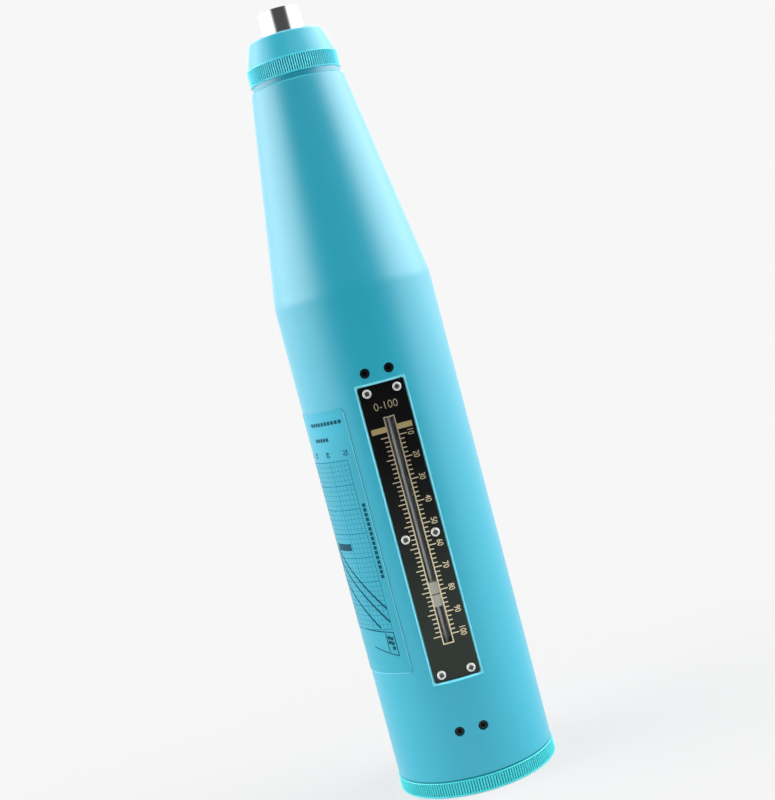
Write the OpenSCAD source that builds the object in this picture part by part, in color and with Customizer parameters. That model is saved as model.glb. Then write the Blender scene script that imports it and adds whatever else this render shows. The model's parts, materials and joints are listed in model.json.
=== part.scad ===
// Concrete test hammer: a spring-driven mass strikes a plunger, and a rider on a rod keeps how far
// the mass springs back. The origin is the centre of the rear face, +Z runs along the axis to the
// plunger's tip, and the scale faces -Y. Millimetres.

/* [Housing] */
// Outer diameter of the barrel
body_d = 54; // [53:0.5:58]
// Wall of the barrel
body_wall = 5; // [4.6:0.1:5.4]
// Length of the straight barrel in front of the rear cover
barrel_len = 165; // [160:0.1:175]
// Length of the conical nose
nose_len = 71.1; // [66:0.1:76]
// Diameter of the nose at its front end
nose_end_d = 31.9; // [30.8:0.1:33]
// Wall of the conical nose
nose_wall = 3.6; // [3:0.1:4]
// Radius of the round between barrel and nose
shoulder_round = 17; // [10:1:25]
// Diameter of the plain band between the nose and its cap
band_d = 30.4; // [29:0.1:30.8]
// Length of the plain band
band_len = 1.8; // [1:0.1:3]
// Diameter of the neck that the nose cap screws on
neck_d = 24; // [23:0.1:25]
// Length of that neck
neck_len = 7.2; // [6:0.1:8]

/* [Rear cover] */
// How far the cover's ribs stand out of the barrel
cover_proud = 0.3; // [0.1:0.1:2]
// Height of the ribbed rim
cover_h = 5.4; // [5:0.1:8]
// Bevel at the rear edge of the rim
cover_edge = 1.1; // [0.4:0.1:1.4]
// Plain lip beside the ribs
cover_lip = 0.5; // [0.4:0.1:1]
// Ribs round the rim
cover_ribs = 189; // [120:1:220]
// Depth of the ribs
rib_depth = 0.3; // [0.2:0.05:0.5]
// Length of the plug that screws into the barrel
plug_len = 10; // [8:0.5:12]
// Diameter of the recess in the rear face
recess_d = 26; // [24:0.5:30]
// Depth of that recess
recess_depth = 5.2; // [4.6:0.1:6]
// Thickness of the cover above its recess
cover_floor = 3; // [2:0.1:4]
// Diameter of the boss that the trip screw runs in
boss_d = 14; // [11:0.5:18]
// Height of that boss
boss_len = 4; // [3:0.5:5]

/* [Nose cap] */
// Diameter over the cap's ribs
cap_ring_d = 31.2; // [31:0.1:34]
// Height of the ribbed ring
cap_ring_h = 5.8; // [4:0.1:7]
// Ribs round the ring
cap_ribs = 140; // [90:1:160]
// Height of the cap's cone
cap_cone_h = 8.4; // [7.6:0.1:10]
// Diameter at the cone's foot
cap_base_d = 30.7; // [29:0.1:31]
// Diameter of the cap's front face
cap_front_d = 25.2; // [23:0.1:26]
// Thickness of the cap's front wall
cap_front_wall = 1.5; // [1:0.1:2]

/* [Plunger] */
// Diameter of the plunger
plunger_d = 14; // [13:0.1:15]
// Length that shows in front of the cap when locked in
plunger_out = 10; // [6:0.1:12]
// Radius of the rounded tip
tip_r = 25; // [20:1:40]
// Distance of the tip's rim from its crown
tip_rise = 1.2; // [1.1:0.1:1.8]
// Stroke of plunger and mass
stroke = 75; // [70:0.5:78]
// Give of the buffer spring behind the plunger
buffer_travel = 1.5; // [1:0.1:2]
// Diameter of the guide bar
bar_d = 8; // [7:0.1:9]
// Length of the guide bar inside the plunger
bar_grip = 25; // [20:1:30]
// Room for the buffer spring in the plunger's bore
buffer_room = 14; // [10:0.5:18]

/* [Guide sleeve] */
// Diameter of the sleeve in the neck
sleeve_d = 20.8; // [20:0.1:21.4]
// Length of the tail that holds the impact spring
sleeve_tail_len = 7; // [5:0.5:9]
// Thickness of the sleeve's flange
flange_t = 3; // [2:0.5:4]
// Distance of the flange's seat behind the nose end
flange_seat = 8.2; // [7:0.1:9]
// Thickness of the split ring
ring_t = 2; // [1.6:0.1:2.4]
// Depth of the split ring's groove
ring_groove = 1.4; // [1:0.1:1.8]
// Length of the lip in front of the groove
sleeve_lip = 1.5; // [1:0.1:1.8]
// Gap between the two half rings
ring_split = 0.5; // [0.3:0.1:1]

/* [Hammer mass] */
// Length of the mass's main body
hammer_len = 40; // [36:0.5:44]
// Length of the front spool inside the impact spring
spool_len = 8; // [6:0.5:10]
// Diameter of the rear collar that the pawl holds
collar_d = 20.8; // [20:0.1:22]
// Thickness of that collar
collar_t = 3; // [2:0.1:4]
// Depth of the groove behind the collar
groove_depth = 2.2; // [1.8:0.1:3]
// Width of that groove
groove_w = 5; // [4.6:0.1:6]
// Bevel at the edges of the mass
hammer_edge = 0.8; // [0.3:0.1:1.2]

/* [Guide disk and pawl] */
// Thickness of the disk
disk_t = 6; // [5.6:0.1:7]
// Distance from the rear cover's plug to the disk when locked in
disk_room = 8; // [7:0.1:10]
// Distance from the disk to the mass's collar when the pawl holds it
collar_gap = 1; // [0.6:0.1:1.4]
// Distance of the pawl's pivot from the axis
pivot_y = 13; // [12.6:0.1:13.6]
// Diameter of the pawl's pin
pivot_d = 2.5; // [2:0.1:2.8]
// Length of the pawl's pin
pivot_len = 16; // [12:0.5:20]
// Width of the pawl
pawl_w = 5; // [4:0.1:6]
// Angle by which the pawl is lifted at rest
pawl_lift = 12; // [11:0.5:13]
// Thickness of the pawl's arm
arm_t = 3.6; // [3:0.1:4]
// Depth of the hook in front of the collar
hook_bite = 1.2; // [1:0.1:1.3]
// Length of the hook along the axis
hook_len = 3; // [2:0.1:3.4]
// Thickness of the pawl's tail
tail_t = 2.6; // [2:0.1:3]
// Length of the tail past the axis
tail_past = 1.5; // [0.5:0.1:2]

/* [Springs] */
// Wire of the impact spring
impact_wire = 2; // [1.6:0.1:2.2]
// Curls of the impact spring
impact_curls = 16; // [10:1:20]
// Wire of the compression spring
compression_wire = 1.6; // [1.2:0.1:1.6]
// Curls of the compression spring
compression_curls = 6; // [4:1:6]
// Wire of the buffer spring
buffer_wire = 0.9; // [0.7:0.1:1]
// Curls of the buffer spring
buffer_curls = 7; // [5:1:8]
// Wire of the pawl's spring
pawl_wire = 0.5; // [0.4:0.05:0.55]
// Curls of the pawl's spring
pawl_curls = 3; // [2:1:3]
// Wire of the button's spring
button_wire = 0.5; // [0.4:0.05:0.6]
// Curls of the button's spring
button_curls = 2; // [1:1:2]

/* [Scale] */
// Width of the scale plate
plate_w = 15.3; // [14.6:0.1:16]
// Thickness of the scale plate
plate_t = 1.2; // [1:0.1:1.4]
// How deep the plate's face lies below the barrel's crest
plate_sink = 1.5; // [1.3:0.1:1.7]
// Height of the plate's lower edge above the rear face
plate_start = 38.6; // [38:0.1:41]
// Corner radius of the plate
plate_corner = 0.8; // [0.4:0.1:1.5]
// Width of the bevel round the plate's pocket
pocket_bevel = 0.8; // [0.4:0.1:1]
// Width of the slot in the plate
slot_w = 3; // [2.6:0.1:3.4]
// Length of the slot in the plate beyond the stroke
slot_past = 1.4; // [0.8:0.1:3]
// Distance of the slot from the plate's lower edge
slot_rise = 12.2; // [11:0.1:14]
// Distance of the slot from the plate's upper edge
slot_head = 11.4; // [10:0.1:13]
// Width of the clear pane
pane_w = 7.6; // [7:0.1:7.8]
// Thickness of the clear pane
pane_t = 1; // [0.8:0.1:1.2]
// Length of the pane past the rider's path at each end
pane_past = 2.2; // [1.6:0.1:3]
// Width of the ledge that carries the pane's long edges
pane_ledge = 1.5; // [1:0.1:1.6]
// Height of the full mark above the plate's lower edge
full_rise = 14.8; // [14:0.1:16]
// Units on the scale
scale_units = 100; // [80:10:100]
// Reading at which the rider stands
reading = 82.2; // [0:0.1:100]

/* [Rider] */
// Length of the rider
rider_len = 8.2; // [7:0.1:9]
// Width of the rider's body
rider_w = 7.2; // [6:0.1:8]
// Width of the rider's tongue in the window
tongue_w = 3.3; // [3:0.1:3.6]
// Diameter of the rider's rod
rod_d = 2.4; // [2:0.1:2.6]
// Wall of the rider on the rod's inner side
rider_floor = 0.5; // [0.4:0.05:0.7]
// Wall of the rider on the rod's outer side
rider_roof = 0.6; // [0.4:0.05:0.8]
// Thickness of the rider's spring leaf
leaf_t = 0.3; // [0.2:0.05:0.4]
// Width of the rider's spring leaf
leaf_w = 4; // [3:0.1:5]
// Depth by which the leaf's end reaches behind the mass
leaf_catch = 1; // [0.6:0.1:1.4]

/* [Rod blocks] */
// Length of each rod block
block_len = 8; // [7:0.1:9]
// Height of the rear block's middle above the rear face
rear_block_z = 21.6; // [21.2:0.1:22.4]
// Distance of the front block's middle from the plate's upper edge
front_block_gap = 4.2; // [4.2:0.1:5]
// Distance of each block screw from the middle
block_screw_x = 4; // [3.8:0.1:4.4]
// Wall of the block beside its screws
block_edge = 0.9; // [0.7:0.1:1.2]

/* [Screws] */
// Head diameter of the block screws
block_head_d = 3.1; // [2.9:0.1:3.4]
// Head height of the block screws
block_head_h = 1.6; // [1.2:0.1:2]
// Depth of the block screws' heads below the barrel's crest
block_head_sink = 1.2; // [0.8:0.1:1.6]
// Shank diameter of the block screws
block_shank_d = 2; // [1.6:0.1:2.2]
// Length of the block screws in the block
block_bite = 2.4; // [1.6:0.1:3]
// Width across flats of the sockets in the block screws
block_key = 1.5; // [1.2:0.1:1.6]
// Head diameter of the plate screws
plate_head_d = 3.3; // [3:0.1:3.6]
// Head height of the plate screws
plate_head_h = 0.8; // [0.6:0.1:1]
// Shank diameter of the plate screws
plate_shank_d = 1.6; // [1.4:0.1:1.8]
// Length of the plate screws in the barrel's wall
plate_bite = 1.8; // [1.4:0.1:2]
// Distance of each plate screw from the middle
plate_screw_x = 5; // [4.8:0.1:5.2]
// Distance of the end screws from the plate's ends
plate_screw_end = 2.4; // [2.2:0.1:3]
// Height of the middle screws on the plate, as a share of its length
plate_screw_share = 0.485; // [0.46:0.005:0.52]
// Slot width of the plate screws
screw_slot = 0.6; // [0.4:0.05:0.8]

/* [Trip screw] */
// Diameter of the trip screw
trip_d = 6; // [5:0.1:7]
// Distance of the trip screw's rear end from the rear face
trip_inset = 0.8; // [0.5:0.1:1.2]
// Width of its screwdriver slot
trip_slot = 1.2; // [1:0.1:1.4]
// Depth of its screwdriver slot
trip_slot_depth = 1.4; // [1:0.1:2]
// Width across flats of the lock nut
nut_flats = 10; // [9:0.1:11]
// Thickness of the lock nut
nut_t = 4; // [3:0.1:4.2]

/* [Lock button] */
// Diameter of the button
button_d = 7; // [6:0.1:7.4]
// Height of the button above its collar
button_out = 1.7; // [1.4:0.1:2]
// Travel of the button
button_travel = 1.8; // [1.4:0.1:1.9]
// Width of the button's hidden flange
button_flange = 0.9; // [0.7:0.1:1.1]
// Thickness of that flange
button_flange_t = 0.9; // [0.7:0.1:1]
// Diameter of the button's stem
stem_d = 4; // [3.4:0.1:4.4]
// Wall of the collar round the button's flange
collar_wall = 1.4; // [1:0.1:1.8]
// Thickness of the collar's front lip
collar_lip = 0.7; // [0.5:0.1:0.9]
// How far the collar stands out of the barrel
collar_proud = 1.1; // [0.8:0.1:1.4]
// Barrel wall left under the collar
collar_floor = 1.4; // [1.2:0.1:1.6]

/* [Label] */
// Height of the label's lower edge above the rear face
label_start = 43.8; // [40:0.1:46]
// Height of the label
label_len = 90; // [80:0.5:92]
// Angle from the scale's middle to the label's near edge
label_edge_angle = 30.5; // [26:0.5:36]
// Angle that the label wraps
label_turn = 108; // [80:1:120]
// Thickness of the label
label_t = 0.15; // [0.1:0.05:0.2]

/* [Hidden] */
$fn = 96;

// Clearances
cut = 1;
seat_gap = 0.05;
run_gap = 0.05;
slide_gap = 0.3;
disk_gap = 0.35;
spring_gap = 0.4;
edge_break = 0.4;
glue_gap = 0.03;

// Steps of round stretches and of coiled wire
arc_steps = 4;
rings_per_curl = 8;
wire_sides = 6;

// Stack along the axis, rear to front
body_r = body_d / 2;
bore_r = body_r - body_wall;
shoulder_z = cover_h + barrel_len;
nose_end_z = shoulder_z + nose_len;
cap_z = nose_end_z + band_len;
neck_end_z = cap_z + neck_len;
cap_ring_end = cap_z + cap_ring_h;
cap_front_z = cap_ring_end + cap_cone_h;
plunger_tip_z = cap_front_z + plunger_out;
nose_slope = (body_r - nose_end_d / 2) / nose_len;
flange_seat_z = nose_end_z - flange_seat;
nose_angle = atan(nose_slope);
function nose_inner_r(z) = body_r - nose_slope * (z - shoulder_z) - nose_wall;

disk_z = cover_h + plug_len + disk_room;
disk_front_z = disk_z + disk_t;
disk_r = bore_r - disk_gap;
collar_z = disk_front_z + collar_gap + stroke;
hammer_z = collar_z + collar_t + groove_w;
spool_z = hammer_z + hammer_len;
hammer_front_z = spool_z + spool_len;
plunger_z = hammer_front_z + buffer_travel + slide_gap;
bar_end_z = plunger_z + bar_grip;
plunger_bore_end = bar_end_z + buffer_room;

// Radii from the axis to the barrel's wall on the scale's side
rider_gap = 0.6;
rider_top_gap = 0.6;
rider_stack = rider_gap + leaf_t + rider_floor + rod_d + rider_roof + rider_top_gap;
hammer_r = bore_r - rider_stack;
leaf_y = hammer_r + rider_gap;
rider_y = leaf_y + leaf_t;
rod_y = rider_y + rider_floor + rod_d / 2;
rider_top_y = bore_r - rider_top_gap;

// Scale window
plate_y = body_r - plate_sink;
pocket_y = plate_y - plate_t;
pane_y = pocket_y - pane_t;
slot_len = stroke + slot_past;
plate_len = slot_rise + slot_len + slot_head;
plate_end = plate_start + plate_len;
full_z = plate_start + full_rise;
zero_z = full_z + stroke;
rider_z = zero_z - stroke * reading / scale_units;
path_start = full_z - rider_len / 2 - slide_gap;
path_end = zero_z + rider_len / 2 + slide_gap;
front_block_z = plate_end + front_block_gap;
screw_rows = [plate_screw_end, plate_len * plate_screw_share, plate_len - plate_screw_end];
leaf_end_z = hammer_z - slide_gap - (zero_z - rider_z);
leaf_lap_share = 0.5;
block_w = 2 * (block_screw_x + block_shank_d / 2 + block_edge);
block_y = rider_y;
notch_w = block_w + 2 * slide_gap + 2 * seat_gap;
notch_y = hammer_r - leaf_catch - slide_gap;

// Guide sleeve and impact spring
sleeve_r = sleeve_d / 2;
flange_edge = 0.6;
flange_r = nose_inner_r(flange_seat_z) - flange_edge;
impact_r = flange_r - flange_edge - impact_wire / 2;
impact_flat_r = impact_r * cos(180 / rings_per_curl);
spool_r = impact_flat_r - impact_wire / 2 - spring_gap;
flange_z = flange_seat_z - flange_t;
sleeve_tail_z = flange_z - sleeve_tail_len;
sleeve_end_z = neck_end_z + ring_t + seat_gap + sleeve_lip;
groove_r = sleeve_r - ring_groove;
cap_pocket_r = sleeve_r + slide_gap;
cap_wall_z = cap_front_z - cap_front_wall;
felt_gap = 0.1;

// Rear cover
cover_r = body_r + cover_proud;
rib_sink = 0.06;
cover_core_r = cover_r - rib_depth - 2 * rib_sink;
plug_r = bore_r - seat_gap;
cup_z = recess_depth + cover_floor;
cup_gap = 0.8;
compression_gap = 0.4;
compression_r = block_y - compression_gap - compression_wire / 2;
cup_r = compression_r + compression_wire / 2 + cup_gap;

// Pawl, drawn from its pivot
pivot_z = disk_z + disk_t / 2;
pawl_boss_r = pivot_d / 2 + 2 * spring_gap;
hook_tip_y = collar_d / 2 - hook_bite - pivot_y;
hook_z = disk_front_z + collar_gap + collar_t + 2 * spring_gap - pivot_z;
arm_in_y = collar_d / 2 + 2 * slide_gap - pivot_y;
tail_top = -disk_t / 2 - spring_gap;
tail_low = tail_top - tail_t;
tail_end_y = -pivot_y - tail_past;
slot_in = pawl_boss_r + spring_gap;
slot_out = arm_in_y + arm_t + pawl_boss_r;
pawl_spring_y = (bar_d / 2 + pivot_y - slot_in) / 2;
pawl_spring_r = (pivot_y - slot_in - bar_d / 2) / 2 - pawl_wire - 2 * slide_gap;
pawl_pocket_r = pawl_spring_r + pawl_wire / 2 + slide_gap;
pawl_pocket_share = 0.6;
trip_tip_z = pivot_z + tail_end_y * sin(pawl_lift) + tail_low * cos(pawl_lift) - slide_gap;

// Lock button
stem_gap = 0.1;
catch_gap = 0.65;
button_r = button_d / 2;
flange_out_r = button_r + button_flange;
collar_in_r = flange_out_r + 2 * stem_gap;
collar_out_r = collar_in_r + collar_wall;
button_z = disk_front_z + slide_gap + stem_d / 2;
collar_floor_y = bore_r + collar_floor;
collar_top_y = body_r + collar_proud;
button_top_y = collar_top_y + button_out;
button_flange_y = collar_top_y - collar_lip - stem_gap - button_flange_t;
stem_tip_y = disk_r + catch_gap;
button_spring_r = (stem_d / 2 + flange_out_r) / 2;

// Colours
paint = [0.22, 0.66, 0.76];
rib_paint = [0.25, 0.74, 0.78];
steel = [0.76, 0.77, 0.79];
dark_steel = [0.35, 0.36, 0.38];
spring_steel = [0.55, 0.56, 0.58];
brass = [0.78, 0.65, 0.35];
black = [0.08, 0.08, 0.09];
ivory = [0.82, 0.80, 0.74];
felt = [0.60, 0.58, 0.52];
clear = [0.85, 0.92, 0.95, 0.35];
film = [0.55, 0.80, 0.88, 0.8];

// A ring of straight ribs, as one extruded star
module ribbed_ring(r, depth, count, h) {
  points = [
    for (i = [0 : 2 * count - 1])
      let (reach = i % 2 == 0 ? r : r - depth)
      [reach * cos(180 * i / count), reach * sin(180 * i / count)]
  ];
  linear_extrude(h) polygon(points);
}

// A flat bar with round corners, lying in XY and centred
module round_bar(w, len, corner, t) {
  linear_extrude(t) {
    square([w - 2 * corner, len], center = true);
    square([w, len - 2 * corner], center = true);
    for (x = [-1, 1], y = [-1, 1])
      translate([x * (w / 2 - corner), y * (len / 2 - corner)]) circle(corner);
  }
}

// Moves a shape drawn with +Z outward to the scale's side, at depth y and height z
module on_scale_side(y, z) {
  translate([0, -y, z]) rotate([90, 0, 0]) children();
}

// Moves a shape drawn with +Z outward to the back, at depth y and height z
module on_back(y, z) {
  translate([0, y, z]) rotate([-90, 0, 0]) children();
}

// Middle line of a coil spring with a straight stretch of one wire at each end
function coil_point(r, rise, t) = [r * cos(t), r * sin(t), rise * t / 360];
function coil_tangent(r, rise, t) =
  let (v = [-r * sin(t), r * cos(t), rise / (2 * PI)]) v / norm(v);
function coil_line(r, wire, h, curls) =
  let (rise = (h - wire) / curls, last = 360 * curls, step = 360 / rings_per_curl)
  concat(
    [coil_point(r, rise, 0) - wire * coil_tangent(r, 0, 0)],
    [for (t = [0 : step : last]) coil_point(r, rise, t)],
    [coil_point(r, rise, last) + wire * coil_tangent(r, 0, last)]
  );

// Least distance between stretches of the wire that lie half a curl or more apart
function coil_gap(line, wire) =
  min([
    for (i = [0 : len(line) - 1])
      for (j = [i + rings_per_curl / 2 : 1 : len(line) - 1]) norm(line[i] - line[j])
  ]) - wire;

// A coil spring of overall height h, standing on the XY plane
module coil_spring(name, r, wire, h, curls) {
  line = coil_line(r, wire, h, curls);
  rise = (h - wire) / curls;
  count = len(line);
  echo(str(name, " least gap ", coil_gap(line, wire)));
  points = [
    for (i = [0 : count - 1])
      let (
        t = 360 * min(max(i - 1, 0), count - 3) / rings_per_curl,
        outward = [cos(t), sin(t), 0],
        upward = cross(coil_tangent(r, rise, t), outward)
      )
      for (s = [0 : wire_sides - 1])
        let (a = 360 * s / wire_sides)
        line[i] + wire / 2 * (cos(a) * outward + sin(a) * upward)
  ];
  sides = [
    for (i = [0 : count - 2], s = [0 : wire_sides - 1])
      let (
        a = i * wire_sides + s,
        b = i * wire_sides + (s + 1) % wire_sides
      )
      each [[a, a + wire_sides, b], [b, a + wire_sides, b + wire_sides]]
  ];
  last = (count - 1) * wire_sides;
  ends = [
    for (s = [1 : wire_sides - 2])
      each [[0, s, s + 1], [last, last + s + 1, last + s]]
  ];
  translate([0, 0, wire / 2]) polyhedron(points, concat(sides, ends));
}

// A cut that bevels the rim of a w by len pocket by the same width all round, with its middle at height z
module rim_cut(w, len, z) {
  foot_r = body_r - pocket_bevel;
  foot_y = sqrt(foot_r * foot_r - w * w / 4);
  edge_x = w / 2 + pocket_bevel;
  edge_y = sqrt(body_r * body_r - edge_x * edge_x);
  top_r = body_r + pocket_bevel;
  top_x = w / 2 + pocket_bevel * (top_r - foot_y) / (edge_y - foot_y);
  translate([0, 0, z]) intersection() {
    linear_extrude(2 * len, center = true)
      polygon([[w / 2, -foot_y], [-w / 2, -foot_y], [-top_x, -top_r], [top_x, -top_r]]);
    rotate_extrude()
      polygon([
        [foot_r, -len / 2],
        [top_r, -len / 2 - 2 * pocket_bevel],
        [top_r, len / 2 + 2 * pocket_bevel],
        [foot_r, len / 2]
      ]);
  }
}

module housing_shell() {
  cone_start = shoulder_z + (body_wall - nose_wall) / nose_slope;
  round_z = shoulder_z - shoulder_round * tan(nose_angle / 2);
  shoulder = [
    for (i = [0 : arc_steps])
      let (a = nose_angle * i / arc_steps)
      [body_r - shoulder_round * (1 - cos(a)), round_z + shoulder_round * sin(a)]
  ];
  rotate_extrude()
    polygon(concat(
      [
        [bore_r, cone_start],
        [bore_r, cover_h],
        [body_r - edge_break, cover_h],
        [body_r, cover_h + edge_break]
      ],
      shoulder,
      [
        [nose_end_d / 2 + nose_slope * edge_break, nose_end_z - edge_break],
        [nose_end_d / 2 - edge_break, nose_end_z],
        [band_d / 2, nose_end_z],
        [band_d / 2, cap_z],
        [neck_d / 2, cap_z],
        [neck_d / 2, neck_end_z],
        [sleeve_r + seat_gap, neck_end_z],
        [sleeve_r + seat_gap, flange_seat_z],
        [nose_inner_r(flange_seat_z), flange_seat_z]
      ]
    ));
}

// Pocket, bevel, pane rebate and rider slot on the scale's side
module scale_window_cuts() {
  middle = plate_start + plate_len / 2;
  path_middle = (path_start + path_end) / 2;
  path_len = path_end - path_start;
  depth = body_r - pocket_y + cut;
  pocket_w = plate_w + 2 * seat_gap;
  pocket_len = plate_len + 2 * seat_gap;
  on_scale_side(pocket_y, middle)
    round_bar(pocket_w, pocket_len, plate_corner, depth);
  rim_cut(pocket_w, pocket_len, middle);
  on_scale_side(pane_y, path_middle)
    round_bar(pane_w + 2 * seat_gap, path_len + 2 * (pane_past + seat_gap), plate_corner, depth);
  on_scale_side(bore_r - body_wall, path_middle)
    round_bar(pane_w - 2 * pane_ledge, path_len, plate_corner, body_wall + depth);
  for (x = [-1, 1], row = screw_rows)
    translate([x * plate_screw_x, 0, 0])
      on_scale_side(pocket_y - plate_bite - seat_gap, plate_start + row)
        cylinder(d = plate_shank_d + 2 * seat_gap, h = depth);
}

// Stepped holes of the two pairs of block screws
module block_screw_cuts() {
  head_y = body_r - block_head_sink - block_head_h;
  for (x = [-1, 1], z = [rear_block_z, front_block_z])
    translate([x * block_screw_x, 0, 0]) {
      on_scale_side(head_y, z)
        cylinder(d = block_head_d + 4 * seat_gap, h = body_wall + cut);
      on_scale_side(bore_r - body_wall, z)
        cylinder(d = block_shank_d + 2 * seat_gap, h = 2 * body_wall);
    }
}

module button_cuts() {
  on_back(collar_floor_y, button_z) cylinder(r = collar_out_r + seat_gap, h = body_wall + cut);
  on_back(bore_r - body_wall, button_z) cylinder(d = stem_d + 2 * stem_gap, h = 2 * body_wall);
}

module housing() {
  color(paint) difference() {
    housing_shell();
    scale_window_cuts();
    block_screw_cuts();
    button_cuts();
  }
}

module rear_cover() {
  color(rib_paint) difference() {
    union() {
      rotate_extrude()
        polygon([
          [0, 0],
          [cover_r - cover_edge, 0],
          [cover_r, cover_edge],
          [cover_r, cover_edge + cover_lip],
          [cover_core_r, cover_edge + cover_lip],
          [cover_core_r, cover_h - cover_lip],
          [cover_r, cover_h - cover_lip],
          [cover_r, cover_h],
          [plug_r, cover_h],
          [plug_r, cover_h + plug_len],
          [cup_r, cover_h + plug_len],
          [cup_r, cup_z],
          [boss_d / 2, cup_z],
          [boss_d / 2, cup_z + boss_len],
          [0, cup_z + boss_len]
        ]);
      translate([0, 0, cover_edge + cover_lip])
        ribbed_ring(cover_r - rib_sink, rib_depth, cover_ribs, cover_h - cover_edge - 2 * cover_lip);
    }
    translate([0, 0, -cut]) cylinder(d = recess_d, h = recess_depth + cut);
    cylinder(d = trip_d + 2 * seat_gap, h = cup_z + boss_len + cut);
  }
}

module nose_cap() {
  core_r = cap_ring_d / 2 - rib_depth - 2 * rib_sink;
  socket_r = neck_d / 2 + seat_gap;
  hole_r = plunger_d / 2 + slide_gap;
  ring_face = neck_end_z + ring_t;
  color(rib_paint) union() {
    rotate_extrude()
      polygon([
        [socket_r, cap_z],
        [cap_ring_d / 2 - edge_break, cap_z],
        [cap_ring_d / 2, cap_z + edge_break],
        [core_r, cap_z + edge_break],
        [core_r, cap_ring_end - edge_break],
        [cap_ring_d / 2, cap_ring_end - edge_break],
        [cap_base_d / 2, cap_ring_end],
        [cap_front_d / 2, cap_front_z - edge_break],
        [cap_front_d / 2 - edge_break, cap_front_z],
        [hole_r, cap_front_z],
        [hole_r, cap_wall_z],
        [cap_pocket_r, cap_wall_z],
        [cap_pocket_r, ring_face],
        [socket_r, ring_face]
      ]);
    translate([0, 0, cap_z + edge_break])
      difference() {
        ribbed_ring(cap_ring_d / 2 - rib_sink, rib_depth, cap_ribs, cap_ring_h - 2 * edge_break);
        translate([0, 0, -cut]) cylinder(r = (socket_r + core_r) / 2, h = cap_ring_h + 2 * cut);
      }
  }
}

module split_ring() {
  color(steel) difference() {
    translate([0, 0, neck_end_z]) cylinder(r = neck_d / 2 - slide_gap, h = ring_t);
    cylinder(r = groove_r + seat_gap, h = plunger_tip_z);
    translate([-neck_d, -ring_split / 2, neck_end_z - cut]) cube([2 * neck_d, ring_split, ring_t + 2 * cut]);
  }
}

module guide_sleeve() {
  bore = plunger_d / 2 + run_gap;
  color(brass) rotate_extrude()
    polygon([
      [bore, sleeve_tail_z],
      [spool_r - edge_break, sleeve_tail_z],
      [spool_r, sleeve_tail_z + edge_break],
      [spool_r, flange_z],
      [flange_r, flange_z],
      [flange_r, flange_seat_z],
      [sleeve_r, flange_seat_z],
      [sleeve_r, neck_end_z - seat_gap],
      [groove_r, neck_end_z - seat_gap],
      [groove_r, neck_end_z + ring_t + seat_gap],
      [sleeve_r, neck_end_z + ring_t + seat_gap],
      [sleeve_r, sleeve_end_z],
      [bore, sleeve_end_z]
    ]);
}

module felt_washer() {
  low = sleeve_end_z + seat_gap;
  color(felt) difference() {
    translate([0, 0, low]) cylinder(r = cap_pocket_r - felt_gap, h = cap_wall_z - seat_gap - low);
    translate([0, 0, low - cut]) cylinder(r = plunger_d / 2 + felt_gap, h = plunger_tip_z - low);
  }
}

module impact_plunger() {
  r = plunger_d / 2;
  front = plunger_tip_z - plunger_out;
  color(steel) difference() {
    union() {
      rotate_extrude()
        polygon([
          [0, plunger_z],
          [r - hammer_edge, plunger_z],
          [r, plunger_z + hammer_edge],
          [r, front],
          [0, front]
        ]);
      intersection() {
        translate([0, 0, plunger_tip_z - tip_r]) sphere(tip_r);
        rotate_extrude()
          polygon([
            [0, front],
            [r, front],
            [r, plunger_tip_z - tip_rise],
            [r - tip_rise, plunger_tip_z],
            [0, plunger_tip_z]
          ]);
      }
    }
    translate([0, 0, plunger_z - cut])
      cylinder(d = bar_d + 2 * run_gap, h = plunger_bore_end - plunger_z + cut);
  }
}

module buffer_spring() {
  color(spring_steel) translate([0, 0, bar_end_z + seat_gap])
    coil_spring("buffer_spring", bar_d / 2 - buffer_wire, buffer_wire,
      buffer_room - buffer_travel - 2 * seat_gap, buffer_curls);
}

module guide_bar() {
  r = bar_d / 2;
  color(steel) rotate_extrude()
    polygon([
      [0, disk_z + edge_break],
      [r, disk_z + edge_break],
      [r, bar_end_z - edge_break],
      [r - edge_break, bar_end_z],
      [0, bar_end_z]
    ]);
}

module hammer_mass() {
  bore = bar_d / 2 + run_gap;
  collar_r = collar_d / 2;
  color(dark_steel) rotate_extrude()
    polygon([
      [bore, collar_z],
      [collar_r - hammer_edge, collar_z],
      [collar_r, collar_z + hammer_edge],
      [collar_r, collar_z + collar_t],
      [collar_r - groove_depth, collar_z + collar_t],
      [collar_r - groove_depth, hammer_z],
      [hammer_r, hammer_z],
      [hammer_r, spool_z - hammer_edge],
      [hammer_r - hammer_edge, spool_z],
      [spool_r, spool_z],
      [spool_r, hammer_front_z - edge_break],
      [spool_r - edge_break, hammer_front_z],
      [bore, hammer_front_z]
    ]);
}

module impact_spring() {
  color(spring_steel) translate([0, 0, spool_z + slide_gap])
    coil_spring("impact_spring", impact_r, impact_wire, flange_z - spool_z - 2 * slide_gap, impact_curls);
}

module guide_disk() {
  color(steel) difference() {
    translate([0, 0, disk_z]) cylinder(r = disk_r, h = disk_t);
    translate([0, 0, disk_z - cut]) cylinder(d = bar_d + 2 * seat_gap, h = disk_t + 2 * cut);
    translate([-notch_w / 2, -disk_r - cut, disk_z - cut])
      cube([notch_w, disk_r + cut - notch_y, disk_t + 2 * cut]);
    translate([-pawl_w / 2 - slide_gap, pivot_y - slot_in, disk_z - cut])
      cube([pawl_w + 2 * slide_gap, slot_in + slot_out, disk_t + 2 * cut]);
    translate([0, pawl_spring_y, disk_z - cut])
      cylinder(r = pawl_pocket_r, h = disk_t * pawl_pocket_share + cut);
    translate([-pivot_len / 2 - seat_gap, pivot_y, pivot_z])
      rotate([0, 90, 0]) cylinder(d = pivot_d + 2 * seat_gap, h = disk_r + pivot_len);
  }
}

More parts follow.
